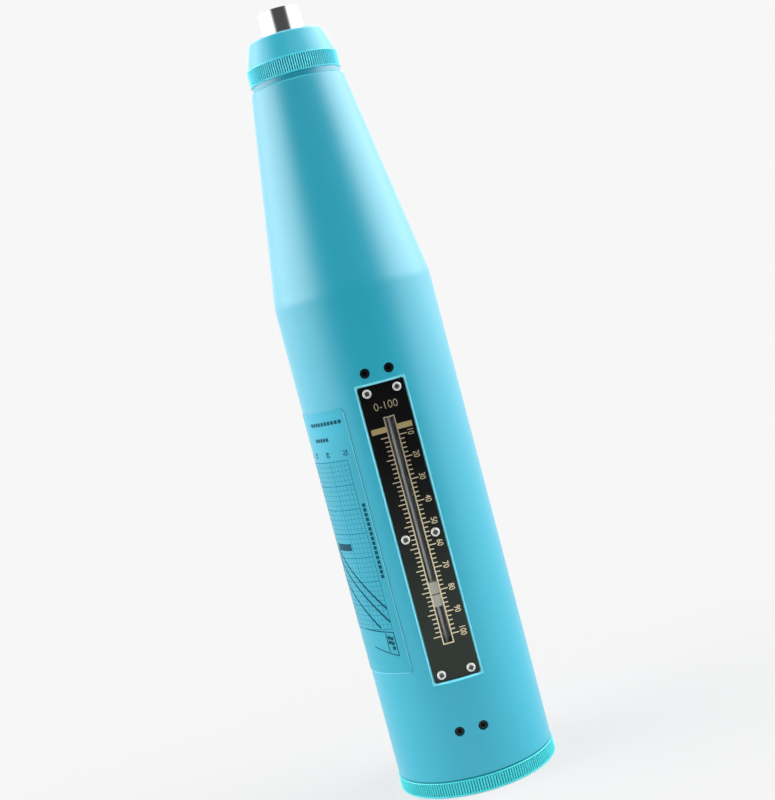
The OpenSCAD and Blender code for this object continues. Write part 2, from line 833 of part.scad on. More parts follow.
// Side view of the pawl with its pivot at the origin, in its holding position
module pawl_outline() {
  circle(pawl_boss_r);
  polygon([
    [arm_in_y, 0],
    [arm_in_y + arm_t, 0],
    [arm_in_y + arm_t, hook_z + hook_len],
    [hook_tip_y, hook_z + hook_len],
    [hook_tip_y, hook_z],
    [arm_in_y, hook_z]
  ]);
  rotate(pawl_lift)
    polygon([
      [tail_end_y, tail_low],
      [0, tail_low],
      [pawl_boss_r * cos(pawl_lift), 0],
      [-pawl_boss_r * cos(pawl_lift), 0],
      [-pawl_boss_r, tail_top],
      [tail_end_y, tail_top]
    ]);
}

module pawl() {
  color(dark_steel) translate([0, pivot_y, pivot_z]) rotate([-pawl_lift, 0, 0])
    rotate([90, 0, 90]) difference() {
      linear_extrude(pawl_w, center = true) pawl_outline();
      cylinder(d = pivot_d + 2 * run_gap, h = pawl_w + 2 * cut, center = true);
    }
}

module pawl_pin() {
  color(steel) translate([-pivot_len / 2, pivot_y, pivot_z])
    rotate([0, 90, 0]) cylinder(d = pivot_d, h = pivot_len);
}

module pawl_spring() {
  low = pivot_z + tail_top + seat_gap;
  color(spring_steel) translate([0, pawl_spring_y, low])
    coil_spring("pawl_spring", pawl_spring_r, pawl_wire,
      disk_z + disk_t * pawl_pocket_share - seat_gap - low, pawl_curls);
}

module compression_spring() {
  color(spring_steel) translate([0, 0, cup_z + seat_gap])
    coil_spring("compression_spring", compression_r, compression_wire,
      disk_z - cup_z - 2 * seat_gap, compression_curls);
}

module trip_screw() {
  color(dark_steel) difference() {
    rotate_extrude()
      polygon([
        [0, trip_inset],
        [trip_d / 2 - edge_break, trip_inset],
        [trip_d / 2, trip_inset + edge_break],
        [trip_d / 2, trip_tip_z - trip_d / 4],
        [trip_d / 4, trip_tip_z],
        [0, trip_tip_z]
      ]);
    translate([-trip_d, -trip_slot / 2, trip_inset - cut])
      cube([2 * trip_d, trip_slot, trip_slot_depth + cut]);
  }
}

module lock_nut() {
  color(steel) difference() {
    translate([0, 0, recess_depth - nut_t]) cylinder(d = nut_flats / cos(30), h = nut_t, $fn = 6);
    cylinder(d = trip_d + 2 * seat_gap, h = recess_depth + cut);
  }
}

module push_button() {
  crown = 2 * button_d;
  color(dark_steel) {
    on_back(button_flange_y, button_z) intersection() {
      rotate_extrude()
        polygon([
          [0, 0],
          [flange_out_r, 0],
          [flange_out_r, button_flange_t],
          [button_r, button_flange_t],
          [button_r, button_top_y - button_flange_y - edge_break],
          [button_r - edge_break, button_top_y - button_flange_y],
          [0, button_top_y - button_flange_y]
        ]);
      translate([0, 0, button_top_y - button_flange_y - crown]) sphere(crown);
    }
    on_back(stem_tip_y, button_z) cylinder(d = stem_d, h = button_flange_y - stem_tip_y);
  }
}

module button_spring() {
  color(spring_steel) on_back(collar_floor_y + seat_gap, button_z)
    coil_spring("button_spring", button_spring_r, button_wire,
      button_flange_y - collar_floor_y - 2 * seat_gap, button_curls);
}

module button_collar() {
  h = collar_top_y - collar_floor_y;
  color(steel) on_back(collar_floor_y, button_z) rotate_extrude()
    polygon([
      [collar_in_r, 0],
      [collar_out_r, 0],
      [collar_out_r, h - edge_break],
      [collar_out_r - edge_break, h],
      [button_r + stem_gap, h],
      [button_r + stem_gap, h - collar_lip],
      [collar_in_r, h - collar_lip]
    ]);
}

module rider() {
  color(ivory) difference() {
    union() {
      translate([-rider_w / 2, -rider_top_y, rider_z - rider_len / 2])
        cube([rider_w, rider_top_y - rider_y, rider_len]);
      translate([-tongue_w / 2, -pane_y + slide_gap, rider_z - rider_len / 2])
        cube([tongue_w, pane_y - slide_gap - rider_y, rider_len]);
    }
    translate([0, -rod_y, rider_z - rider_len])
      cylinder(d = rod_d + 2 * run_gap, h = 2 * rider_len);
  }
}

module rider_leaf() {
  lap = rider_z - rider_len / 2 + rider_len * leaf_lap_share;
  color(spring_steel) {
    translate([-leaf_w / 2, -rider_y, leaf_end_z - leaf_t])
      cube([leaf_w, leaf_t, lap - leaf_end_z + leaf_t]);
    translate([-leaf_w / 2, -rider_y, leaf_end_z - leaf_t])
      cube([leaf_w, rider_y - hammer_r + leaf_catch, leaf_t]);
  }
}

module rider_rod() {
  low = rear_block_z - block_len / 2 + edge_break;
  high = front_block_z + block_len / 2 - edge_break;
  color(steel) translate([0, -rod_y, low]) cylinder(d = rod_d, h = high - low);
}

// A block that hugs the barrel's wall and holds one end of the rider's rod
module rod_block(z) {
  bite_y = bore_r - block_bite - seat_gap;
  difference() {
    intersection() {
      translate([0, 0, z - block_len / 2]) cylinder(r = bore_r - seat_gap, h = block_len);
      translate([-block_w / 2, -body_r, z - block_len]) cube([block_w, body_r - block_y, 2 * block_len]);
    }
    translate([0, -rod_y, z - block_len]) cylinder(d = rod_d + 2 * seat_gap, h = 2 * block_len);
    for (x = [-1, 1])
      translate([x * block_screw_x, 0, 0])
        on_scale_side(bite_y, z) cylinder(d = block_shank_d + 2 * seat_gap, h = body_wall);
  }
}

module rod_block_front() {
  color(brass) rod_block(front_block_z);
}

module rod_block_rear() {
  color(brass) rod_block(rear_block_z);
}

module block_screws() {
  head_y = body_r - block_head_sink - block_head_h + seat_gap;
  tip_y = bore_r - block_bite;
  color(black)
    for (x = [-1, 1], z = [rear_block_z, front_block_z])
      translate([x * block_screw_x, 0, 0]) difference() {
        union() {
          on_scale_side(head_y, z) cylinder(d = block_head_d, h = block_head_h);
          on_scale_side(tip_y, z) cylinder(d = block_shank_d, h = head_y - tip_y);
        }
        on_scale_side(head_y + block_head_h / 2, z)
          cylinder(d = block_key / cos(30), h = block_head_h, $fn = 6);
      }
}

module scale_plate() {
  color(black) difference() {
    on_scale_side(pocket_y, plate_start + plate_len / 2)
      round_bar(plate_w, plate_len, plate_corner, plate_t);
    on_scale_side(pocket_y - cut, plate_start + slot_rise + slot_len / 2)
      round_bar(slot_w, slot_len, plate_corner, plate_t + 2 * cut);
    for (x = [-1, 1], row = screw_rows)
      translate([x * plate_screw_x, 0, 0])
        on_scale_side(pocket_y - cut, plate_start + row)
          cylinder(d = plate_shank_d + 4 * seat_gap, h = plate_t + 2 * cut);
  }
}

module window_pane() {
  path_middle = (path_start + path_end) / 2;
  color(clear) on_scale_side(pane_y, path_middle)
    round_bar(pane_w, path_end - path_start + 2 * pane_past, plate_corner, pane_t - seat_gap);
}

module plate_screws() {
  crown = plate_head_d;
  color(steel)
    for (x = [-1, 1], row = screw_rows)
      translate([x * plate_screw_x, 0, 0]) difference() {
        union() {
          on_scale_side(plate_y, plate_start + row) intersection() {
            cylinder(d = plate_head_d, h = plate_head_h);
            translate([0, 0, plate_head_h - crown]) sphere(crown);
          }
          on_scale_side(pocket_y - plate_bite, plate_start + row)
            cylinder(d = plate_shank_d, h = plate_t + plate_bite);
        }
        on_scale_side(plate_y + plate_head_h / 2, plate_start + row)
          translate([-plate_head_d, -screw_slot / 2, 0]) cube([2 * plate_head_d, screw_slot, plate_head_h]);
      }
}

module conversion_label() {
  far_edge = 270 - label_edge_angle - label_turn;
  color(film) rotate([0, 0, far_edge]) rotate_extrude(angle = label_turn)
    translate([body_r + glue_gap, label_start]) square([label_t, label_len]);
}

housing();
rear_cover();
nose_cap();
split_ring();
guide_sleeve();
felt_washer();
impact_plunger();
buffer_spring();
guide_bar();
hammer_mass();
impact_spring();
guide_disk();
pawl();
pawl_pin();
pawl_spring();
compression_spring();
trip_screw();
lock_nut();
push_button();
button_spring();
button_collar();
rider();
rider_leaf();
rider_rod();
rod_block_front();
rod_block_rear();
block_screws();
scale_plate();
window_pane();
plate_screws();
conversion_label();
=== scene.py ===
"""Dresses a concrete test hammer: coated barrel, ribbed caps, scale, label, screws and springs."""

import json
import logging
import math
from dataclasses import dataclass
from enum import Enum
from functools import cached_property
from typing import Any, Callable, Mapping, Optional, Sequence, Union

import bmesh
import bpy
from mathutils import Matrix, Vector
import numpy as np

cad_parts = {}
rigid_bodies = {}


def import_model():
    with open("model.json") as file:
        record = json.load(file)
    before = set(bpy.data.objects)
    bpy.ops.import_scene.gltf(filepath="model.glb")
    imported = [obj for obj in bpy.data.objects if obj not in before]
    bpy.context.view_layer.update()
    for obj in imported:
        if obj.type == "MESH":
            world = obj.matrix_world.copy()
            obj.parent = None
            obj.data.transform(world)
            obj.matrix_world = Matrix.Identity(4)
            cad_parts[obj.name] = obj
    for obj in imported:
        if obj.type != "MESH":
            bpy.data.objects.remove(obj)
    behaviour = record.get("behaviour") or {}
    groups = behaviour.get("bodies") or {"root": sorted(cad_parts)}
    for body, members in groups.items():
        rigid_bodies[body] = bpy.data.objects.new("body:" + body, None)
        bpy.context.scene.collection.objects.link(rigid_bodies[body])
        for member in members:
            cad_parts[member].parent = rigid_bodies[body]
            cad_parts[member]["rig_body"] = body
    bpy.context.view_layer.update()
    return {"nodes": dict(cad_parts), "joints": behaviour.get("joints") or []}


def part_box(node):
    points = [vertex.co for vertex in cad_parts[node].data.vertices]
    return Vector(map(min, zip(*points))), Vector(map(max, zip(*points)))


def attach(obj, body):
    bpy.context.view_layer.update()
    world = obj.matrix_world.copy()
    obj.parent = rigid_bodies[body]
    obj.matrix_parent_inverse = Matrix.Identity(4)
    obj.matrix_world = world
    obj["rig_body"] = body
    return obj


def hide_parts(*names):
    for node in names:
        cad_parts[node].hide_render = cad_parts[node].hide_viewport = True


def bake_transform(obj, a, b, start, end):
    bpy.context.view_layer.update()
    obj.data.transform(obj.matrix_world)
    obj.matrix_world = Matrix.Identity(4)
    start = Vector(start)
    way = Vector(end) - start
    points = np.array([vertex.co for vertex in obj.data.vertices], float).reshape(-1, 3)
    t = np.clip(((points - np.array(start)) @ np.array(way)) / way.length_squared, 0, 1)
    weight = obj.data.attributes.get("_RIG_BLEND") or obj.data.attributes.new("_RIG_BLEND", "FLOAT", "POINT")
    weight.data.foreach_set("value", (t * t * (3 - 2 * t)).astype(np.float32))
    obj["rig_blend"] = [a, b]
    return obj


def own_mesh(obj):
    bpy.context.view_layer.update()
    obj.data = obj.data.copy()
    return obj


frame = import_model()

LOG = logging.getLogger("test_hammer")
MM = 0.001
SIDES = (-1, 1)
EVEN = (1.0, 1.0, 1.0)
QUARTER = math.pi / 2
SHARP = math.radians(32.0)
ROUND_STEPS = 5
FIGURE_STEPS = 4
FIGURE_MERGE = 1e-4
HEXAGON = 6
SOFT, FINE, FINEST = 2.0, 3.0, 4.0
RECESS = "recess"
BARREL_RADIUS = 27.0 * MM
SHOULDER = 170.4 * MM
NOSE_SLOPE = 0.1554

Colour = tuple[float, float, float]
Point = tuple[float, float]
Corner = tuple[float, float, float]
Number = Union[float, "Value"]
Operator = Callable[["Value", Number], "Value"]
Material = bpy.types.Material
Piece = bpy.types.Object
WorkMesh = bmesh.types.BMesh


def operators(operation: str) -> tuple[Operator, Operator]:
    """Makes the plain and the reflected form of an operator on values.

    Args:
        operation: What the Math node that it adds does.

    Returns:
        A method for self and other, and one for other and self.
    """

    def plain(self: "Value", other: Number) -> "Value":
        """Adds the node for self and other."""
        return self.tree.math(operation, self, other)

    def reflected(self: "Value", other: Number) -> "Value":
        """Adds the node for other and self."""
        return self.tree.math(operation, other, self)

    return plain, reflected


class Value:
    """One output of a node tree. Arithmetic on it adds Math nodes, and a comparison gives 1 or 0."""

    __add__, __radd__ = operators("ADD")
    __sub__, __rsub__ = operators("SUBTRACT")
    __mul__, __rmul__ = operators("MULTIPLY")
    __truediv__ = operators("DIVIDE")[0]
    __mod__ = operators("FLOORED_MODULO")[0]
    __lt__ = operators("LESS_THAN")[0]

    def __init__(self, tree: "Tree", socket: bpy.types.NodeSocket) -> None:
        """Keeps the socket and the tree that it belongs to."""
        self.tree = tree
        self.socket = socket


class Tree:
    """A node tree of any kind, with one method that adds nodes."""

    def __init__(self, nodes: bpy.types.NodeTree) -> None:
        """Keeps the tree that the nodes go into."""
        self.nodes = nodes

    def add(
        self, kind: str, sockets: Optional[Mapping[Union[str, int], Any]] = None,
        output: Union[str, int] = 0, **settings: Any,
    ) -> Value:
        """Adds a node.

        Args:
            kind: The node's type.
            sockets: Values or links for its inputs, by name or index.
            output: The output that is wanted.
            settings: Its properties, which are set first.

        Returns:
            That output.
        """
        node = self.nodes.nodes.new(kind)
        for name, value in settings.items():
            setattr(node, name, value)
        for name, value in (sockets or {}).items():
            self.feed(node.inputs[name], value)
        return Value(self, node.outputs[output])

    def feed(self, socket: bpy.types.NodeSocket, value: Any) -> None:
        """Links a value to a socket, or sets the socket's own value.

        Args:
            socket: The input to feed.
            value: A Value, or a plain number, colour, vector or data block.
        """
        if isinstance(value, Value):
            self.nodes.links.new(value.socket, socket)
        elif socket.type == "RGBA":
            socket.default_value = (*value, 1.0)
        else:
            socket.default_value = value

    def close(self, kind: str, value: Value) -> None:
        """Links a value to a new output node of that type."""
        self.nodes.links.new(value.socket, self.nodes.nodes.new(kind).inputs[0])

    def math(self, operation: str, first: Number, second: Number = 0.0) -> Value:
        """Adds a Math node and returns its result."""
        return self.add("ShaderNodeMath", {0: first, 1: second}, operation=operation)

    def vector(self, x: Number, y: Number, z: Number) -> Value:
        """Joins three numbers into a vector."""
        return self.add("ShaderNodeCombineXYZ", {"X": x, "Y": y, "Z": z})

    def parts(self, vector: Value) -> tuple[Value, Value, Value]:
        """Splits a vector into its three numbers."""
        split = self.add("ShaderNodeSeparateXYZ", {"Vector": vector}).socket.node
        return tuple(Value(self, socket) for socket in split.outputs)

    def ease(self, value: Number, low: float, high: float) -> Value:
        """Returns a smooth step from 0 at low to 1 at high."""
        sockets = {"Value": value, "From Min": low, "From Max": high}
        return self.add("ShaderNodeMapRange", sockets, interpolation_type="SMOOTHSTEP")

    def window(self, value: Value, span: Point, soft: float) -> Value:
        """Returns 1 between the ends of a span and 0 beyond them, with soft ends."""
        low, high = (self.ease(value, end - soft, end + soft) for end in span)
        return low * (1.0 - high)

    def ray(self, kind: str) -> Value:
        """Returns 1 for rays of that kind and 0 for others."""
        return self.add("ShaderNodeLightPath", output=f"Is {kind} Ray")


class Shader(Tree):
    """A new material with its node tree."""

    def __init__(self, name: str) -> None:
        """Makes an empty material.

        Args:
            name: Its name.
        """
        self.material = bpy.data.materials.new(name)
        self.material.use_nodes = True
        super().__init__(self.material.node_tree)
        self.nodes.nodes.clear()

    def place(self, stretch: Sequence[float] = EVEN) -> Value:
        """Returns the surface point in object coordinates, stretched along X, Y and Z."""
        point = self.add("ShaderNodeTexCoord", output="Object")
        return self.add("ShaderNodeMapping", {"Vector": point, "Scale": stretch})

    def noise(self, size: float, detail: float = SOFT, stretch: Sequence[float] = EVEN) -> Value:
        """Returns noise from 0 to 1, with features of a size in metres where nothing stretches them."""
        sockets = {"Vector": self.place(stretch), "Scale": 1.0 / size, "Detail": detail}
        return self.add("ShaderNodeTexNoise", sockets, "Fac")

    def mix(self, share: Number, low: Any, high: Any) -> Value:
        """Mixes two colours."""
        return self.add("ShaderNodeMix", {0: share, 6: low, 7: high}, 2, data_type="RGBA")

    def fade(self, span: Point, low: Any, high: Any) -> Value:
        """Mixes two colours up the hammer's axis, between the two heights of a span."""
        height = self.parts(self.place())[2]
        return self.mix(self.ease(height, *span), low, high)

    def bump(self, height: Value, depth: float) -> Value:
        """Turns a height from 0 to 1 into a normal, for a relief of that depth in metres."""
        return self.add("ShaderNodeBump", {"Distance": depth, "Height": height}, "Normal")

    def finish(self, shader: Value) -> Material:
        """Links the shader to the material's output and returns the material."""
        self.close("ShaderNodeOutputMaterial", shader)
        return self.material

    def coated(self, **sockets: Any) -> Material:
        """Finishes the material with a Principled shader, whose sockets have underscores for spaces."""
        named = {name.replace("_", " "): value for name, value in sockets.items()}
        return self.finish(self.add("ShaderNodeBsdfPrincipled", named))


class Shape(Tree):
    """A geometry tree with named sizes, which is turned into a plain mesh."""

    def __init__(self, name: str) -> None:
        """Makes an empty geometry tree.

        Args:
            name: Its name.
        """
        super().__init__(bpy.data.node_groups.new(name, "GeometryNodeTree"))
        self.name = name
        self.nodes.interface.new_socket("Mesh", in_out="OUTPUT", socket_type="NodeSocketGeometry")
        self.entry = self.nodes.nodes.new("NodeGroupInput")
        self.sizes: dict[str, Any] = {}

    def size(self, name: str, value: Union[int, float, Piece]) -> Value:
        """Adds a named input.

        Args:
            name: What the input is.
            value: Its value, whose type sets the socket's type.

        Returns:
            The input's socket inside the tree.
        """
        kinds = {int: "NodeSocketInt", float: "NodeSocketFloat", Piece: "NodeSocketObject"}
        socket = self.nodes.interface.new_socket(name, in_out="INPUT", socket_type=kinds[type(value)])
        self.sizes[socket.identifier] = value
        sockets = {output.identifier: output for output in self.entry.outputs}
        return Value(self, sockets[socket.identifier])

    def index(self) -> Value:
        """Returns the index of each point."""
        return self.add("GeometryNodeInputIndex")

    def turn(self, axis: Sequence[float], angle: Number) -> Value:
        """Returns a rotation about an axis, by an angle in radians."""
        return self.add("FunctionNodeAxisAngleToRotation", {"Axis": axis, "Angle": angle})

    def points(self, count: Union[int, Value], x: Number, y: Number, z: Number) -> Value:
        """Adds a number of points at places that may depend on their index."""
        return self.add("GeometryNodePoints", {"Count": count, "Position": self.vector(x, y, z)})

    def cube(self, steps: int = 2) -> Value:
        """Adds a unit cube with that many points along X."""
        return self.add("GeometryNodeMeshCube", {"Size": EVEN, "Vertices X": steps})

    def copies(self, points: Value, shape: Value, **sockets: Value) -> Value:
        """Puts a copy of the shape on every point, with Rotation and Scale if given."""
        return self.add("GeometryNodeInstanceOnPoints", {"Points": points, "Instance": shape, **sockets})

    def real(self, geometry: Value) -> Value:
        """Makes copies real."""
        return self.add("GeometryNodeRealizeInstances", {"Geometry": geometry})

    def joined(self, *geometries: Value) -> Value:
        """Joins several geometries.

        Args:
            geometries: What is joined.

        Returns:
            All of them in one.
        """
        join = self.add("GeometryNodeJoinGeometry")
        for geometry in geometries:
            self.nodes.links.new(geometry.socket, join.socket.node.inputs[0])
        return join

    def piece(self, geometry: Value, material: Material) -> Piece:
        """Ends the tree and makes its result a plain mesh.

        Args:
            geometry: What the tree makes.
            material: The finish that it gets.

        Returns:
            An object with the tree's name, that mesh and no modifier.
        """
        painted = {"Geometry": self.real(geometry), "Material": material}
        self.close("NodeGroupOutput", self.add("GeometryNodeSetMaterial", painted))
        piece = linked(self.name, bpy.data.meshes.new(self.name))
        modifier = piece.modifiers.new("shape", "NODES")
        modifier.node_group = self.nodes
        for identifier, value in self.sizes.items():
            modifier[identifier] = value
        return settled(piece, modifier)


def weighted(first: Value, share: float, second: Value) -> Value:
    """Returns the sum of a share of the first value and the rest of the second."""
    return first * share + second * (1.0 - share)


class Work(Enum):
    """How a metal surface was worked, as the stretch of its marks along X, Y and Z."""

    TURNED = (0.02, 0.02, 1.0)
    FACED = (0.02, 1.0, 0.02)
    DRAWN = (1.0, 1.0, 0.015)
    PLAIN = EVEN


@dataclass(frozen=True)
class Band:
    """A stretch of the skin along the axis, at some depth below it, where the coat has another colour."""

    colour: Colour
    low: float
    high: float
    shallow: float = -1.0 * MM
    deep: float = 2.4 * MM
    front_only: bool = False

    def cover(self, y: Value, z: Value, depth: Value) -> Value:
        """Finds where the band is.

        Args:
            y: How far the surface point lies behind the axis.
            z: Its height.
            depth: Its depth below the hammer's skin.

        Returns:
            1 inside the band and 0 elsewhere.
        """
        along = (1.0 - (z < self.low)) * (z < self.high)
        below = (1.0 - (depth < self.shallow)) * (depth < self.deep)
        return along * below * (y < 0.0) if self.front_only else along * below


@dataclass(frozen=True)
class PowderCoat:
    """Satin powder coat with a faint orange peel, whose insides are painted near black as shade."""

    name: str
    colour: Colour
    deep: Colour
    roughness: float = 0.28
    gloss: float = 0.65
    bands: tuple[Band, ...] = ()
    reach: float = 2.4 * MM
    # painted shade: surfaces deeper than the reach below the skin take this near-black colour, standing in
    # for the shade inside the barrel
    inside: Colour = (0.012, 0.013, 0.014)
    peel: float = 0.9 * MM
    grain: float = 0.16 * MM
    cloud: float = 22.0 * MM
    cloud_share: float = 0.5
    grain_share: float = 0.25
    peel_share: float = 0.65
    uneven: float = 0.05
    relief: float = 0.012 * MM

    def material(self) -> Material:
        """Makes the finish.

        Returns:
            Its material.
        """
        shader = Shader(self.name)
        peel, cloud = shader.noise(self.peel), shader.noise(self.cloud)
        grain = shader.noise(self.grain, FINE)
        x, y, z = shader.parts(shader.place())
        skin = BARREL_RADIUS - shader.math("MAXIMUM", z - SHOULDER, 0.0) * NOSE_SLOPE
        depth = skin - shader.math("SQRT", x * x + y * y)
        coat = shader.mix(cloud * self.cloud_share + grain * self.grain_share, self.colour, self.deep)
        for band in self.bands:
            coat = shader.mix(band.cover(y, z, depth), coat, band.colour)
        return shader.coated(
            Base_Color=shader.mix(depth < self.reach, self.inside, coat),
            Roughness=self.roughness + (grain + cloud) * self.uneven,
            Specular_IOR_Level=self.gloss,
            Normal=shader.bump(weighted(peel, self.peel_share, grain), self.relief),
        )


@dataclass(frozen=True)
class Metal:
    """Bare metal with fine marks of how it was worked, a light stain and painted shade in its recesses.

    Where a stripe is given, by its middle and half width along X, the metal inside it keeps its bright
    colour as a painted highlight and the metal beside it takes the dark colour as a painted reflection.
    """

    name: str
    colour: Colour
    work: Work
    roughness: float
    stain: float = 0.24
    # painted shade: the dark colour for recesses, and beside a highlight stripe
    painted_shade: Colour = (0.03, 0.03, 0.03)
    metallic: float = 1.0
    relief: float = 0.002 * MM
    highlight_stripe: Optional[Point] = None
    highlight_stripe_edge: float = 0.3
    mark: float = 0.12 * MM
    patch: float = 6.0 * MM
    patch_share: float = 0.6
    uneven: float = 0.7
    dulling: float = 0.04

    def material(self) -> Material:
        """Makes the finish.

        Returns:
            Its material.
        """
        shader = Shader(self.name)
        marks = shader.noise(self.mark, FINEST, self.work.value)
        patch = shader.noise(self.patch, FINE)
        stained = tuple(c * (1.0 - self.stain) for c in self.colour)
        clean = shader.mix(weighted(patch, self.patch_share, marks), self.colour, stained)
        # painted highlight: inside the stripe the bright colour stays, and beside it the dark colour stands
        # in for a dark reflection
        if self.highlight_stripe:
            middle, half = self.highlight_stripe
            off = shader.math("ABSOLUTE", shader.parts(shader.place())[0] - middle)
            shade_mask = shader.ease(off, half * (1.0 - self.highlight_stripe_edge), half * (1.0 + self.highlight_stripe_edge))
        else:
            # painted shade: faces marked as recess take the dark colour
            shade_mask = shader.add("ShaderNodeAttribute", output="Fac", attribute_name=RECESS)
        spread = (marks - 0.5) * (self.roughness * self.uneven)
        return shader.coated(
            Base_Color=shader.mix(shade_mask, clean, self.painted_shade),
            Metallic=self.metallic,
            Roughness=self.roughness + spread + patch * self.dulling,
            Normal=shader.bump(marks, self.relief),
        )


@dataclass(frozen=True)
class Anodised:
    """Black anodised sheet with a fine bead-blasted grain, greyer towards its lower end as a painted
    reflection of the floor.
    """

    name: str
    colour: Colour = (0.002, 0.002, 0.0024)
    worn: Colour = (0.0035, 0.0035, 0.004)
    # painted reflection: the colour the plate turns towards its lower end, standing in for the floor's
    # reflection
    painted_reflection_grey: Colour = (0.015, 0.022, 0.017)
    fade: Point = (45.0 * MM, 118.0 * MM)
    roughness: float = 0.17
    gloss: float = 0.26
    grain: float = 0.09 * MM
    cloud: float = 9.0 * MM
    cloud_share: float = 0.7
    grain_dulling: float = 0.06
    cloud_dulling: float = 0.05
    relief: float = 0.002 * MM

    def material(self) -> Material:
        """Makes the finish.

        Returns:
            Its material.
        """
        shader = Shader(self.name)
        grain, cloud = shader.noise(self.grain), shader.noise(self.cloud, FINE)
        black = shader.mix(weighted(cloud, self.cloud_share, grain), self.colour, self.worn)
        return shader.coated(
            Base_Color=shader.fade(self.fade, self.painted_reflection_grey, black),
            Roughness=self.roughness + grain * self.grain_dulling + cloud * self.cloud_dulling,
            Specular_IOR_Level=self.gloss,
            Normal=shader.bump(grain, self.relief),
        )


@dataclass(frozen=True)
class Ink:
    """Printed ink with slightly uneven cover, which may grow dim towards the top."""

    name: str
    colour: Colour
    thin: Colour
    gloss: float = 0.5
    dim: Optional[Colour] = None
    fade: Point = (75.0 * MM, 125.0 * MM)
    roughness: float = 0.45
    grain: float = 0.25 * MM
    uneven: float = 0.1
    relief: float = 0.002 * MM

    def material(self) -> Material:
        """Makes the finish.

        Returns:
            Its material.
        """
        shader = Shader(self.name)
        cover = shader.noise(self.grain, FINE)
        ink = shader.mix(cover, self.colour, self.thin)
        return shader.coated(
            Base_Color=shader.fade(self.fade, ink, self.dim) if self.dim else ink,
            Specular_IOR_Level=self.gloss,
            Roughness=self.roughness + cover * self.uneven,
            Normal=shader.bump(cover, self.relief),
        )


@dataclass(frozen=True)
class Moulding:
    """Matt plastic or felt with a fine, slightly soiled surface."""

    name: str
    colour: Colour
    soiled: Colour
    roughness: float
    grain: float
    relief: float
    soil: float = 3.0 * MM
    soil_share: float = 0.7
    uneven: float = 0.1

    def material(self) -> Material:
        """Makes the finish.

        Returns:
            Its material.
        """
        shader = Shader(self.name)
        grain, soil = shader.noise(self.grain, FINEST), shader.noise(self.soil, FINE)
        return shader.coated(
            Base_Color=shader.mix(weighted(soil, self.soil_share, grain), self.colour, self.soiled),
            Roughness=self.roughness + grain * self.uneven,
            Normal=shader.bump(grain, self.relief),
        )


@dataclass(frozen=True)
class Clear:
    """A clear strip that lets most light through, with faint smears."""

    name: str
    colour: Colour = (0.75, 0.85, 0.84)
    cover: float = 0.03
    roughness: float = 0.05
    smear: float = 1.5 * MM
    smear_stretch: Corner = (1.0, 1.0, 0.2)
    smear_cover: float = 0.03
    smear_dulling: float = 0.08

    def material(self) -> Material:
        """Makes the finish.

        Returns:
            Its material.
        """
        shader = Shader(self.name)
        smear = shader.noise(self.smear, FINE, self.smear_stretch)
        return shader.coated(
            Base_Color=self.colour,
            Roughness=self.roughness + smear * self.smear_dulling,
            Alpha=self.cover + smear * self.smear_cover,
        )


@dataclass(frozen=True)
class Film:
    """Film on the barrel, with faint ripples, that nears the coat's colour at the top."""

    name: str
    colour: Colour
    pale: Colour
    top: Colour
    fade: Point = (112.0 * MM, 130.0 * MM)
    roughness: float = 0.36
    gloss: float = 0.36
    ripple: float = 7.0 * MM
    ripple_stretch: Corner = (1.0, 1.0, 0.4)
    fleck: float = 0.5 * MM
    tint_share: float = 0.7
    height_share: float = 0.8
    dulling: float = 0.06
    relief: float = 0.015 * MM

    def material(self) -> Material:
        """Makes the finish.

        Returns:
            Its material.
        """
        shader = Shader(self.name)
        ripple = shader.noise(self.ripple, SOFT, self.ripple_stretch)
        fleck = shader.noise(self.fleck, FINE)
        tint = shader.mix(weighted(ripple, self.tint_share, fleck), self.colour, self.pale)
        return shader.coated(
            Base_Color=shader.fade(self.fade, tint, self.top),
            Roughness=self.roughness + ripple * self.dulling,
            Specular_IOR_Level=self.gloss,
            Normal=shader.bump(weighted(ripple, self.height_share, fleck), self.relief),
        )


